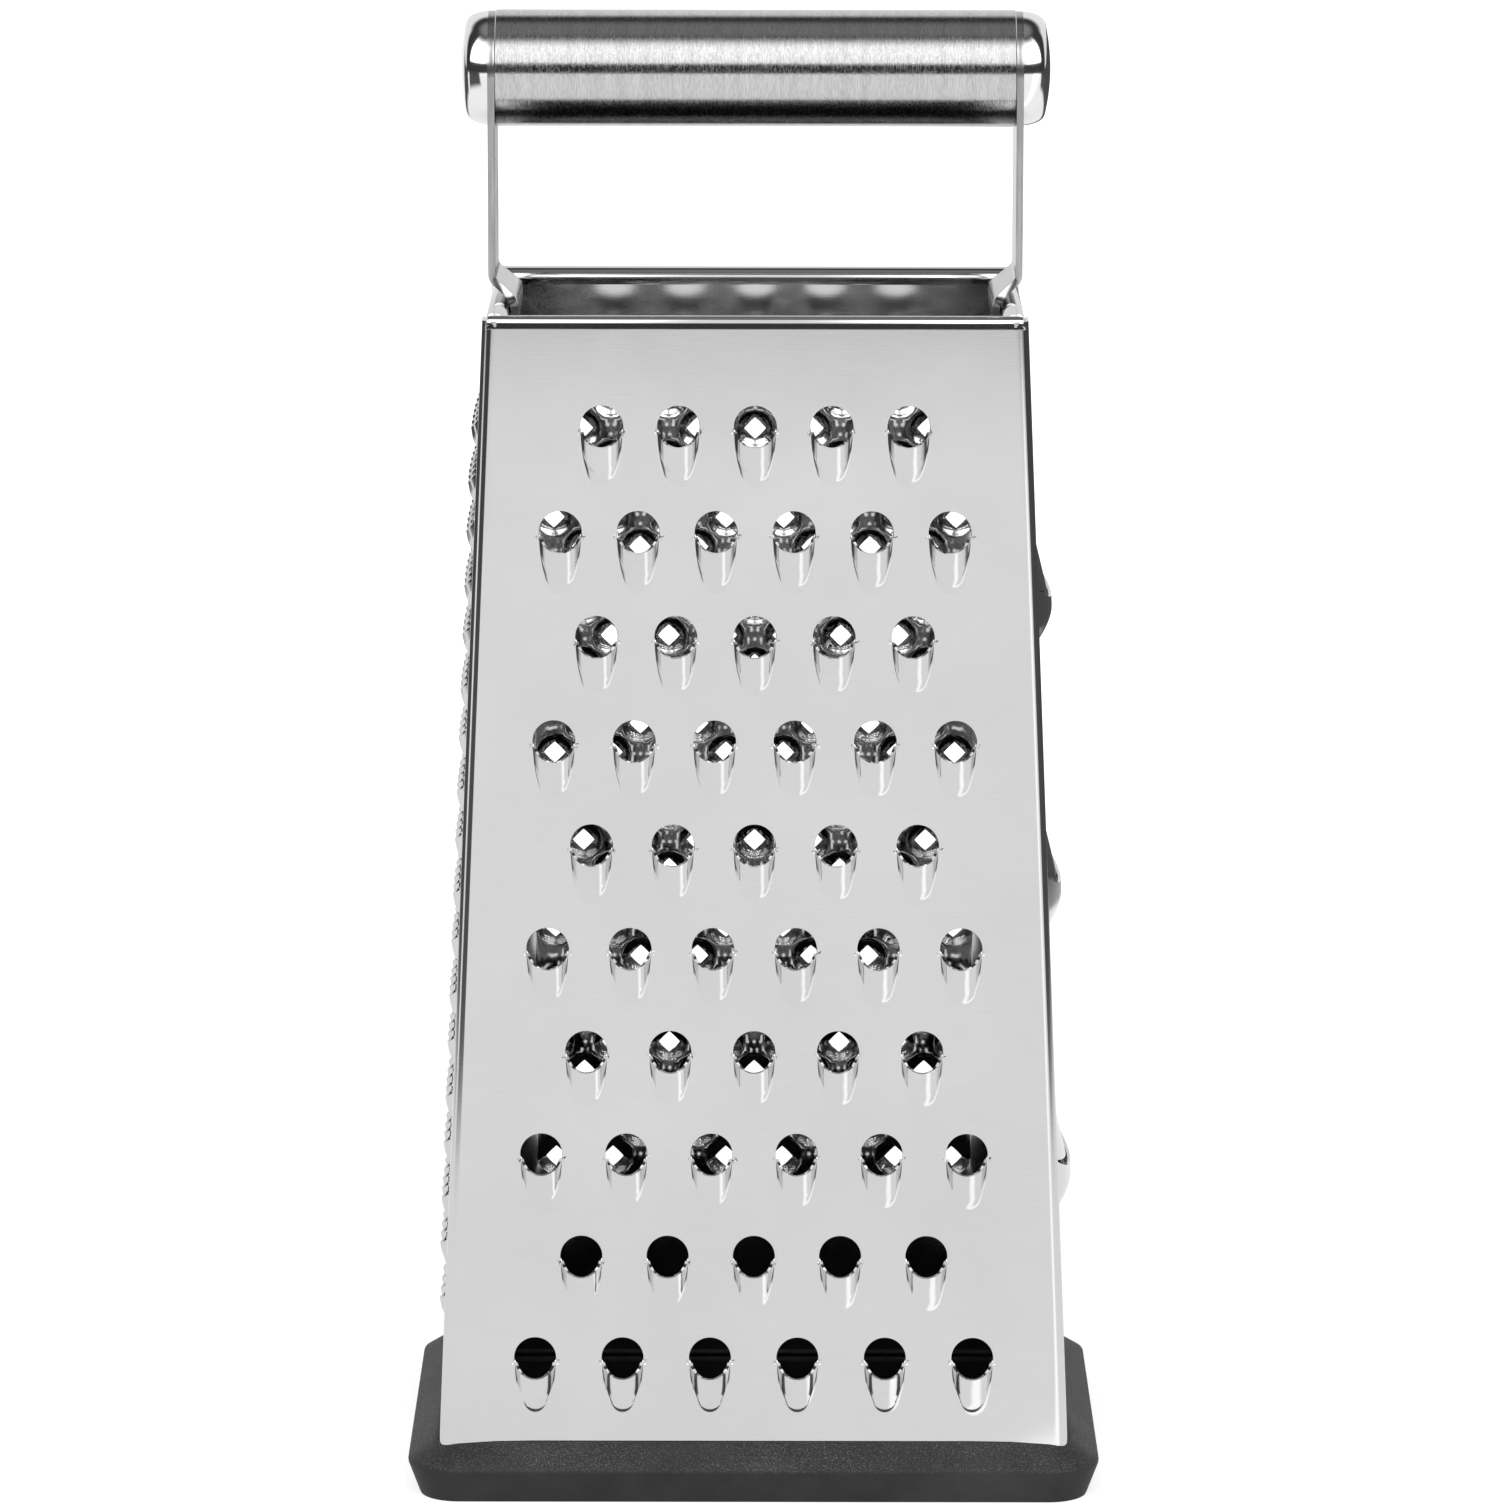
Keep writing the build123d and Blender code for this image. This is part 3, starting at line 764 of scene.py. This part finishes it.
def raspPatch():
    # A dimple from its foot to the hole's edge, with a share of its reach and rise per ring.
    steps, rings = 16, rasp["rings"]

    def place(column, row):
        turn = 2 * pi * column / steps
        share, lift = rings[row]
        reach = mix(raspEdge(turn), rasp["dimple"], share)
        return (reach * cos(turn), reach * sin(turn), rasp["rise"] * lift)

    patch = shapedGrid("raspDimple", steps, len(rings) - 1, place, wrapped=True)
    markBorder(patch, lambda v: hypot(v.co.x, v.co.y) > rasp["dimple"] - 0.01)
    return patch


def raspSpikes():
    # Four torn spikes, each a thin wedge along one side of the hole.
    wedges = []
    for side in range(4):
        middle = pi / 2 * side + pi / 4
        deselectAll()
        bpy.ops.mesh.primitive_cone_add(vertices=6, radius1=1, depth=1, end_fill_type="NGON")
        wedge = bpy.context.object
        spread = rasp["spikeSpread"]
        turns = [middle + t for t in (-spread, 0.0, spread, spread, 0.0, -spread)]
        for vertex in wedge.data.vertices:
            if vertex.co.z > 0:
                reach, turn, height = rasp["spikeLean"], middle, rasp["rise"] + rasp["spike"]
            else:
                turn, outer = turns[vertex.index], vertex.index > 2
                reach = raspEdge(turn) + (rasp["spikeThick"] if outer else 0)
                height = rasp["rise"] - rasp["spikeSink"][outer]
            vertex.co = (reach * cos(turn), reach * sin(turn), height)
        wedges.append(wedge)
    return joined("raspSpikes", wedges)


raspPlaces = staggered(*raspRows.values(), rimUpFace)
raspTips = joined("raspTips", copiesAt(raspSpikes(), raspPlaces))
raspDimples = copiesAt(raspPatch(), raspPlaces)
backPanel = buildFace("backPanel", 1, backPlane, raspDimples, "back_panel", raspTips)
print("back panel:", len(raspPlaces), "dimples,", len(backPanel.data.polygons), "faces")


# side panels

fineTooth = {
    "hole": 1.8,
    "punch": 1.95,
    "proud": 1.9,
    "reach": 2.6,
    "tipStretch": 1.5,
    "slope": 15,
    "lipSink": 0.3,
    "edge": 0.06,
    "collar": 0.25,
    "upperSteps": 8,
    "lowerSteps": 9,
    "shares": [0, 0.5, 0.85],
    "filletSteps": 2,
    "earFillet": 0.15,
    "tipFillet": 0.6,
    "margin": 0,
    "tear": 2.4,
    "tornShadeWidth": 0.7,
}
fineRows = {
    "rows": 18,
    "counts": (7, 8),
    "rowPitch": 9.0,
    "topPitch": 6.0,
    "footPitch": 6.6,
    "firstRow": 19.4,
}
slicer = {
    "count": 3,
    "half": 20.5,
    "sag": 4.8,
    "gap": 1.0,
    "rampRise": 2.6,
    "rampRun": 13.0,
    "bladeRise": 3.2,
    "bladeFlat": 3.5,
    "bladeRun": 8.0,
    "pitch": 50.7,
    "firstCut": 53.1,
    "margin": 2.0,
    "flatMargin": 3.0,  # the same above the ramp and below the blade
    "bladeRound": 1.5,
    "bladePower": 1.6,  # above 1 the blade falls slowly at first
    "gapPower": 6,  # the higher, the later the gap closes
    "rowPower": 0.8,  # below 1 rows are closer at the cut
}
# how far pressing has bowed the side sheets, and where the bow starts and ends
swell = {"left": 1.0, "right": 0.5, "foot": 18, "top": 2, "run": 25}


def slicerPatches():
    half, sag, gap = slicer["half"], slicer["sag"], slicer["gap"]
    reach = half + slicer["margin"]
    bow = (half**2 + sag**2) / (2 * sag)
    turnRadius = (half**2 - slicer["bladeRise"] ** 2) / (2 * slicer["bladeRise"])
    columns, rampRows, bladeRows = 44, 16, 18
    top = slicer["rampRun"] + slicer["flatMargin"]
    foot = -slicer["bladeRun"] - slicer["flatMargin"]

    def smile(x):
        return bow - sqrt(bow**2 - min(abs(x), half) ** 2)

    def domed(x, rise):
        return max(0.0, sqrt(max(0.0, (turnRadius + rise) ** 2 - x * x)) - turnRadius)

    def across(column):
        return reach * (column / columns * 2 - 1)

    def rampPlace(column, row):
        x = across(column)
        opening = max(0.0, 1 - (abs(x) / half) ** slicer["gapPower"])
        y = mix(smile(x) + gap * opening, top, row / rampRows)
        rise = slicer["rampRise"] * (1 - y / slicer["rampRun"])
        return (x, y, domed(x, rise))

    def bladePlace(column, row):
        x = across(column)
        y = mix(foot, smile(x), (row / bladeRows) ** slicer["rowPower"])
        flat = slicer["bladeFlat"] - slicer["bladeRound"]
        fall = max(0.0, -flat - y) / (slicer["bladeRun"] - flat)
        rise = slicer["bladeRise"] * (1 - min(1.0, fall) ** slicer["bladePower"])
        return (x, y, domed(x, rise))

    def onBorder(vertex):
        x, y, near = vertex.co.x, vertex.co.y, 0.01
        return abs(x) > reach - near or y > top - near or y < foot + near

    ramp = shapedGrid("ramp", columns, rampRows, rampPlace)
    blade = shapedGrid("blade", columns, bladeRows, bladePlace)
    patch = joined("slicerPatch", [ramp, blade])
    weld(patch)
    markBorder(patch, onBorder)
    first, pitch = rimUpSide - slicer["firstCut"], slicer["pitch"]
    return copiesAt(patch, [(0, first - i * pitch) for i in range(slicer["count"])])


def buildSide(name, side, plane, patches, node, bow):
    # Left or right: flat sheet with its patches, bowed a little, and the rim.
    footHalf = halfDepth(sheetFoot) - body["bendRadius"] - body["tuck"]
    topHalf = halfDepth(wallTop) - body["bendRadius"] - body["tuck"]
    drop = body["strip"]
    sheet = flatSheet(name, footHalf, topHalf, sideLength, drop, patches)
    lowTop = sideLength - drop
    for vertex in sheet.data.vertices:
        x, y = vertex.co.x / footHalf, vertex.co.y
        ends = clamped((y - swell["foot"]) / swell["run"])
        ends *= clamped((lowTop - swell["top"] - y) / swell["run"])
        vertex.co.z += bow * max(0.0, 1 - x * x) * ends * ends * (3 - 2 * ends)
    rollHalf = halfDepth(wallTop) - body["sideRollSetBack"]
    joined(name, [sheet, rimRoll(name + "Roll", rollHalf, sideLength)])
    sheet.data.transform(plane)
    thicken(sheet, Vector((side, 0, 0)))
    smooth(sheet, body["creaseAngle"])
    return finished(sheet, node, panelSteel)


finePlaces = staggered(*fineRows.values(), rimUpSide)
finePatches = copiesAt(toothPatch("fineTooth", fineTooth), finePlaces)
leftPanel = buildSide("leftPanel", -1, leftPlane, finePatches, "left_panel", swell["left"])
print("left panel:", len(finePlaces), "teeth,", len(leftPanel.data.polygons), "faces")
slots = slicerPatches()
rightPanel = buildSide("rightPanel", 1, rightPlane, slots, "right_panel", swell["right"])
print("right panel:", len(rightPanel.data.polygons), "faces")


# foot ring

ring = {
    "height": 10.0,
    "waist": 6.0,
    "overhang": 5.6,
    "undercut": 2.1,
    "corner": 9.0,
    "innerCorner": 1.2,
    "wallGap": 0.12,
    "crest": 0.35,
    "grooveFloor": 1.88,
    "lipHeight": 4.2,
    "lipWidth": 2.6,
    "dip": 0.9,  # how far the crest sinks towards the corners
    "dipLength": 15.0,
}


def buildRing():
    outX, outY = body["footWidth"] / 2 + ring["overhang"], body["footDepth"] / 2 + ring["overhang"]
    waist, top, under, crest = ring["waist"], ring["height"], ring["undercut"], ring["crest"]
    wall = ring["overhang"] - ring["wallGap"]
    sheets = 2 * body["sheet"] + body["tuck"] + 2 * ring["wallGap"]
    lip = wall + sheets
    hole, lipTop = lip + ring["lipWidth"], ring["lipHeight"]
    # inwards from the waist, and height; around the section once
    section = [
        (under + 0.5, 0.0),
        (under + 0.12, 0.1),
        (under - 0.05, 0.45),
        (0.32, waist - 0.9),
        (0.1, waist - 0.3),
        (0.08, waist + 0.1),
        (0.3, waist + 0.5),
        (wall - crest - 0.6, top - 0.35),
        (wall - crest - 0.2, top - 0.06),
        (wall - crest + 0.05, top),
        (wall - 0.05, top - 0.05),
        (wall, top - 0.2),
        (wall, ring["grooveFloor"]),
        (lip, ring["grooveFloor"]),
        (lip, lipTop - 0.3),
        (lip + 0.3, lipTop),
        (hole - 0.3, lipTop),
        (hole, lipTop - 0.3),
        (hole, 0.2),
        (hole - 0.2, 0.0),
    ]
    cornerSteps, sideSteps = 10, 16
    perSide = cornerSteps + sideSteps

    def sunk(x, y, height, inward):
        # the crest stands highest in the middle of each side
        if inward > wall or height < waist:
            return height
        toCorner = max(body["footWidth"] / 2 - abs(x), body["footDepth"] / 2 - abs(y))
        share = max(0.0, 1 - max(0.0, toCorner) / ring["dipLength"]) ** 2
        return height - ring["dip"] * share * (height - waist) / (top - waist)

    def place(column, row):
        inward, height = section[row % len(section)]
        halfX, halfY = outX - inward, outY - inward
        radius = max(ring["corner"] - inward, ring["innerCorner"])
        quarter, step = divmod(column, perSide)
        signs = [(1, -1), (1, 1), (-1, 1), (-1, -1)]
        here, after = signs[quarter], signs[(quarter + 1) % 4]
        share = max(0.0, (step - cornerSteps) / sideSteps)
        turn = pi / 2 * (quarter - 1 + min(1.0, step / cornerSteps))
        x = mix(here[0], after[0], share) * (halfX - radius) + radius * cos(turn)
        y = mix(here[1], after[1], share) * (halfY - radius) + radius * sin(turn)
        return (x, y, sunk(x, y, height, inward))

    piece = shapedGrid("footRing", 4 * perSide, len(section), place, wrapped=True)
    piece.data.transform(toMetres)
    faceOut(piece)
    smooth(piece, 35)
    return finished(piece, "base_ring", ringRubber)


buildRing()
print("foot ring ready")


# handle

handle = {
    "tubeHeight": 244.0,
    "tubeRadius": 10.0,
    "tubeWall": 0.8,
    "tubeEdge": 0.15,
    "tubeLength": 89.2,
    "strap": 1.2,
    "strapWidth": 19.6,
    "strapEdge": 0.4,  # how far its sheared edges are rounded
    "tabWidth": 28.0,
    "tabRise": -0.6,
    "neck": 3.99,
    "tabCorner": 4.0,
    "bend": 1.9,
    "jogStart": 3.2,
    "jogDrop": 3.5,
    "rollAir": 0.25,
    "padLength": 8.6,
    "tabStraight": 1.2,
    "tabReturn": 3.9,
    "capLength": 4.8,
    "capRadius": 9.75,
    "capArcs": [(6.2, 0, 27), (2.0, 27, 77)],  # radius and angles, from the wall inwards
    "capWall": 0.8,
}


def roundedPath(points, radius, steps=6):
    # A run of straight lines with each inner corner rounded.
    made = [Vector(points[0])]
    for before, here, after in zip(points, points[1:], points[2:]):
        before, here, after = Vector(before), Vector(here), Vector(after)
        a, b = (before - here).normalized(), (after - here).normalized()
        angle = a.angle(b)
        cut = radius / tan(angle / 2)
        middle = here + (a + b).normalized() * radius / sin(angle / 2)
        start, end = here + a * cut, here + b * cut
        first = atan2(start.y - middle.y, start.x - middle.x)
        last = atan2(end.y - middle.y, end.x - middle.x)
        sweep = (last - first + pi) % (2 * pi) - pi
        for step in range(steps + 1):
            turn = first + sweep * step / steps
            made.append(middle + Vector((cos(turn), sin(turn))) * radius)
    made.append(Vector(points[-1]))
    return made


def buildStrap(name, side, node):
    thick = handle["strap"]
    straight = handle["tubeLength"] / 2 + thick / 2
    rollInner = halfWidth(wallTop) - sideInset * widthScale - 2 * body["rollRadius"]
    tab = rollInner - handle["rollAir"] - thick / 2
    jogTop = body["rimHeight"] + handle["jogStart"]
    returnTop = wallTop - body["rollLeg"] - handle["tabStraight"]
    returnFoot = returnTop - handle["tabReturn"]
    foot = returnFoot - handle["padLength"]

    def padMiddle(height):
        wall = halfWidth(height) - (sideInset + body["sheet"]) * widthScale
        return wall - thick / 2 * widthScale

    topOfHead = handle["tubeHeight"] + handle["strapWidth"] / 2
    line = roundedPath(
        [
            (straight, topOfHead),
            (straight, jogTop),
            (tab, jogTop - handle["jogDrop"]),
            (tab, returnTop),
            (padMiddle(returnFoot), returnFoot),
            (padMiddle(foot), foot),
        ],
        handle["bend"],
    )
    half, apart, headSteps = handle["strapWidth"] / 2, 0.5, 12
    below = []
    for first, second in zip(line, line[1:]):
        steps = max(1, int(abs(first.y - second.y) / apart))
        below += [first.lerp(second, s / steps) for s in range(steps)]
    below.append(line[-1])
    # the round head needs points that are closer at its top
    turns = [pi / 2 * s / headSteps for s in range(1, headSteps + 1)]
    head = [topOfHead - 0.02] + [topOfHead - half * (1 - cos(turn)) for turn in turns]
    levels = [Vector((straight, z)) for z in head]
    levels += [point for point in below if point.y < head[-1] - apart]
    tabTop = body["rimHeight"] + handle["tabRise"]

    def widthAt(height):
        if height > handle["tubeHeight"]:
            return sqrt(max(0.01, half**2 - (height - handle["tubeHeight"]) ** 2))
        wide, neck = handle["tabWidth"] / 2, handle["neck"]
        if height > tabTop + neck:
            return half
        if height > tabTop:
            return half + neck - sqrt(max(0.0, neck**2 - (tabTop + neck - height) ** 2))
        corner = handle["tabCorner"]
        if height < foot + corner:
            return wide - corner + sqrt(max(0.0, corner**2 - (foot + corner - height) ** 2))
        return wide

    columns = 12

    def place(column, row):
        point = levels[row]
        reach = widthAt(point.y)
        return (side * point.x, mix(-reach, reach, column / columns), point.y)

    piece = shapedGrid(name, columns, len(levels) - 1, place)
    piece.data.transform(toMetres)
    orient(piece, Vector((side, 0, 0)))
    modify(piece, "SOLIDIFY", thickness=thick / 1000, offset=0)
    edge = {"width": handle["strapEdge"] / 1000, "segments": 3}
    modify(piece, "BEVEL", **edge, limit_method="ANGLE", angle_limit=radians(50))
    smooth(piece, 35)
    return finished(piece, node, strapSteel)


buildStrap("leftStrap", -1, "left_strap")
buildStrap("rightStrap", 1, "right_strap")


def turnedPiece(name, profile, steps=96):
    # Revolves (along X, radius) points about the tube's axis.
    def place(column, row):
        along, radius = profile[row]
        turn = 2 * pi * column / steps
        return (along, radius * cos(turn), handle["tubeHeight"] + radius * sin(turn))

    piece = shapedGrid(name, steps, len(profile) - 1, place, wrapped=True)
    piece.data.transform(toMetres)
    faceOut(piece)
    return piece


def buildTube():
    half, outer = handle["tubeLength"] / 2, handle["tubeRadius"]
    inner, edge = outer - handle["tubeWall"], handle["tubeEdge"]
    profile = [
        (-half, inner),
        (-half, outer - edge),
        (-half + edge, outer),
        (half - edge, outer),
        (half, outer - edge),
        (half, inner),
        (-half, inner),
    ]
    piece = turnedPiece("handleTube", profile, 128)
    smooth(piece, 30)
    return finished(piece, "handle_tube", tubeSteel)


def buildCap(name, side, node):
    # A thin cup whose wall curves in gently, turns over and ends in a shallow dome.
    start = handle["tubeLength"] / 2 + handle["strap"]
    wall, steps, axis = handle["capWall"], 8, 0.001
    along, radius = 0.0, handle["capRadius"]
    outside = [(along, radius)]
    for bend, first, last in handle["capArcs"]:
        base = (along - bend * sin(radians(first)), radius - bend * cos(radians(first)))
        for step in range(1, steps + 1):
            turn = radians(mix(first, last, step / steps))
            along, radius = base[0] + bend * sin(turn), base[1] + bend * cos(turn)
            outside.append((along, radius))
    bend = radius / cos(turn)
    base = along - bend * sin(turn)
    for step in range(1, steps + 1):
        finish = mix(turn, pi / 2, step / steps)
        outside.append((base + bend * sin(finish), max(bend * cos(finish), axis)))
    stretch = handle["capLength"] / outside[-1][0]
    outside = [(start + x * stretch, r) for x, r in outside]
    inside = [(max(start, x - wall), max(r - wall, axis)) for x, r in outside[::3] + outside[-1:]]
    profile = [(side * x, r) for x, r in outside + inside[::-1]]
    profile.append(profile[0])
    piece = turnedPiece(name, profile)
    smooth(piece, 40)
    return finished(piece, node, capChrome)


buildTube()
buildCap("leftCap", -1, "left_end_cap")
buildCap("rightCap", 1, "right_end_cap")
print("handle ready")

for node, material in {
    "left_tube_plug": plugPlastic,
    "right_tube_plug": plugPlastic,
    "left_cap_retainer": retainerPlastic,
    "right_cap_retainer": retainerPlastic,
    "handle_washers": fixingSteel,
    "handle_screws": fixingSteel,
}.items():
    dress(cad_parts[node], material)


# stage, light and camera

# Angles are degrees: turns away from straight ahead and rises over the horizon. Four of
# them are where a band starts to rise, is full, starts to fall and ends. Lengths are metres.
studio = {
    "floorRadius": 7.0,
    "paperTone": 0.35,
    "paperGlow": 0.68,
    "paperWhite": (0.2, 0.6),  # where the camera sees the paper as pure white
    "paperEnd": (2.8, 3.4),  # where the lit paper ends in front, as the steel sees it
    "paperStays": (120, 150),  # behind these angles it doesn't end
    "nearFall": 0.17,
    "nearEnd": (1.0, 1.9),
    "nearPaper": (0.3, 0.6),  # inside it there are no flags
    "flagTone": 0.05,
    "leftFlag": (82, 90, 148, 160),
    "rightFlag": (56, 66, 172, 178),
    "leftGap": (24, 30, 66, 76),
    "glow": (28, 36, 44, 52),
    "glowLevel": 0.55,
    "underWidth": (0.054, 0.058),
    "underDepth": (0.034, 0.038),
    "dimTone": 0.8,
    "darkTone": 0.02,
    "screenRise": (13, 17, 40, 70),
    "screenTurn": (4, 14, 58, 66),
    "screenLevel": 3.0,
    "bridgeRise": (11, 18, 48, 72),
    "bridgeTurn": (4, 14),
    "bridgeLevel": 1.0,
    "overRise": (62, 80),
    "overLevel": 0.19,
    "wallTurn": (100, 118),
    "wallRise": (42, 56),
    "wallLevel": 0.85,
    "darkLevel": 0.04,
    # name, place, size and watts; they all look at the middle of the body
    "lamps": [
        ("topScreen", (0.0, -1.1, 1.9), (1.6, 1.0), 26),
        ("leftScreen", (-1.7, -0.5, 0.9), (0.9, 1.2), 12),
        ("rightScreen", (1.7, -0.5, 0.9), (0.9, 1.2), 12),
    ],
    "lampAim": (0, 0, 0.12),
}


def degreesBetween(turn, low, high):
    return turn.between(radians(low), radians(high))


def band(turn, first, second, third, fourth):
    return degreesBetween(turn, first, second) * (1 - degreesBetween(turn, third, fourth))


def emptyTree(owner, coordinates):
    owner.use_nodes = True
    owner.node_tree.nodes.clear()
    return Shade(owner.node_tree, None).node("ShaderNodeTexCoord", output=coordinates)


def toSurface(shade, kind):
    out = shade.tree.nodes.new(kind)
    shade.tree.links.new(shade.socket, out.inputs["Surface"])


def ray(shade, name):
    return shade.node("ShaderNodeLightPath", output=f"Is {name} Ray")


def buildFloor():
    deselectAll()
    bpy.ops.mesh.primitive_circle_add(vertices=96, radius=studio["floorRadius"], fill_type="NGON")
    floor = bpy.context.object
    floor.name = "floor"
    material = bpy.data.materials.new("floorPaper")
    place = emptyTree(material, "Object")
    seen, glossy = ray(place, "Camera"), ray(place, "Glossy")
    mirrored = glossy + ray(place, "Transmission")
    direct = (seen + mirrored).math("MINIMUM", 1.0)
    x, y = place.axis(0), place.axis(1)
    reach = (x * x + y * y).math("SQRT")
    turn = x.math("ARCTAN2", 0.0 - y)
    # under the body no light reaches the paper
    wide, deep = x.math("ABSOLUTE"), y.math("ABSOLUTE")
    under = (1 - wide.between(*studio["underWidth"])) * (1 - deep.between(*studio["underDepth"]))
    # black flags stand beside the paper, and the steel shows them
    left = 0.0 - turn
    flags = band(left, *studio["leftFlag"]) + band(turn, *studio["rightFlag"])
    flags = (flags + band(left, *studio["leftGap"])).math("MINIMUM", 1.0)
    shaded = reach.between(*studio["nearPaper"]) * flags
    stays = degreesBetween(turn.math("ABSOLUTE"), *studio["paperStays"])
    ended = reach.between(*studio["paperEnd"]) * (1 - stays)
    near = studio["nearFall"] * (1 - reach.between(*studio["nearEnd"]))
    dark = shaded.math("MAXIMUM", ended).math("MAXIMUM", near) * mirrored
    level = (1 - under) * (1 - dark * (1 - studio["flagTone"]))
    glowing = band(turn, *studio["glow"]) * glossy * studio["glowLevel"]
    white = reach.between(*studio["paperWhite"]) * (1 - studio["paperGlow"]) * seen
    strength = level * (studio["paperGlow"] + glowing) + white
    black = grey(studio["darkTone"])
    # rays that light the object meet plain pale paper instead
    paper = level.blended(black, grey(studio["paperTone"]))
    paper = place.node("ShaderNodeBsdfDiffuse", Color=paper)
    dim = (1 - under).blended(black, grey(studio["dimTone"]))
    dim = place.node("ShaderNodeBsdfDiffuse", Color=dim)
    light = place.node("ShaderNodeEmission", Color=grey(1.0), Strength=strength)
    lit = place.node("ShaderNodeAddShader", input0=paper, input1=light)
    both = place.node("ShaderNodeMixShader", input0=direct, input1=dim, input2=lit)
    toSurface(both, "ShaderNodeOutputMaterial")
    floor.data.materials.append(material)


def buildWorld():
    # Two soft screens in front with a softer bridge between them, dark above and beside
    # them, and a white wall behind. The camera sees white.
    world = bpy.context.scene.world = bpy.data.worlds.new("studio")
    place = emptyTree(world, "Generated")
    x, y, z = place.axis(0), place.axis(1), place.axis(2)
    turn = x.math("ARCTAN2", 0.0 - y).math("ABSOLUTE")
    rise = z.math("ARCSINE")
    screens = band(rise, *studio["screenRise"]) * band(turn, *studio["screenTurn"])
    bridge = band(rise, *studio["bridgeRise"]) * (1 - degreesBetween(turn, *studio["bridgeTurn"]))
    over = degreesBetween(rise, *studio["overRise"])
    wall = degreesBetween(turn, *studio["wallTurn"])
    wall = wall * (1 - degreesBetween(rise, *studio["wallRise"]))
    level = studio["darkLevel"] + screens * studio["screenLevel"]
    level = level + bridge * studio["bridgeLevel"] + over * studio["overLevel"]
    level = level + wall * studio["wallLevel"]
    seen = ray(place, "Camera")
    light = place.node("ShaderNodeBackground", Color=grey(1.0), Strength=seen + (1 - seen) * level)
    toSurface(light, "ShaderNodeOutputWorld")


def addLamp(name, place, size, power):
    bpy.ops.object.light_add(type="AREA", location=place)
    lamp = bpy.context.object
    lamp.name = name
    lamp.data.shape = "RECTANGLE"
    lamp.data.size, lamp.data.size_y = size
    lamp.data.energy = power
    aim = Vector(studio["lampAim"]) - Vector(place)
    lamp.rotation_euler = aim.to_track_quat("-Z", "Y").to_euler()
    lamp.visible_glossy = False


buildFloor()
buildWorld()
for lamp in studio["lamps"]:
    addLamp(*lamp)

# fitted to the photograph; focal length and shift are in its pixels
camera = {
    "place": (0.0, -1.35213, 0.40115),
    "down": 0.2024977,  # radians
    "roll": 0.09,  # degrees
    "focal": 7895.54,
    "shift": 0.4,
    "pixels": 1510,
    "sensor": 36,
}
bpy.ops.object.camera_add(location=camera["place"])
view = bpy.context.object
view.rotation_euler = (pi / 2 - camera["down"], 0, 0)
view.rotation_euler.rotate_axis("Z", radians(camera["roll"]))
view.data.lens = camera["focal"] * camera["sensor"] / camera["pixels"]
view.data.sensor_width = camera["sensor"]
view.data.sensor_fit = "HORIZONTAL"
view.data.shift_x = camera["shift"] / camera["pixels"]
view.data.clip_end = 50
bpy.context.scene.camera = view
bpy.context.scene.view_settings.view_transform = "Standard"
print("stage ready")
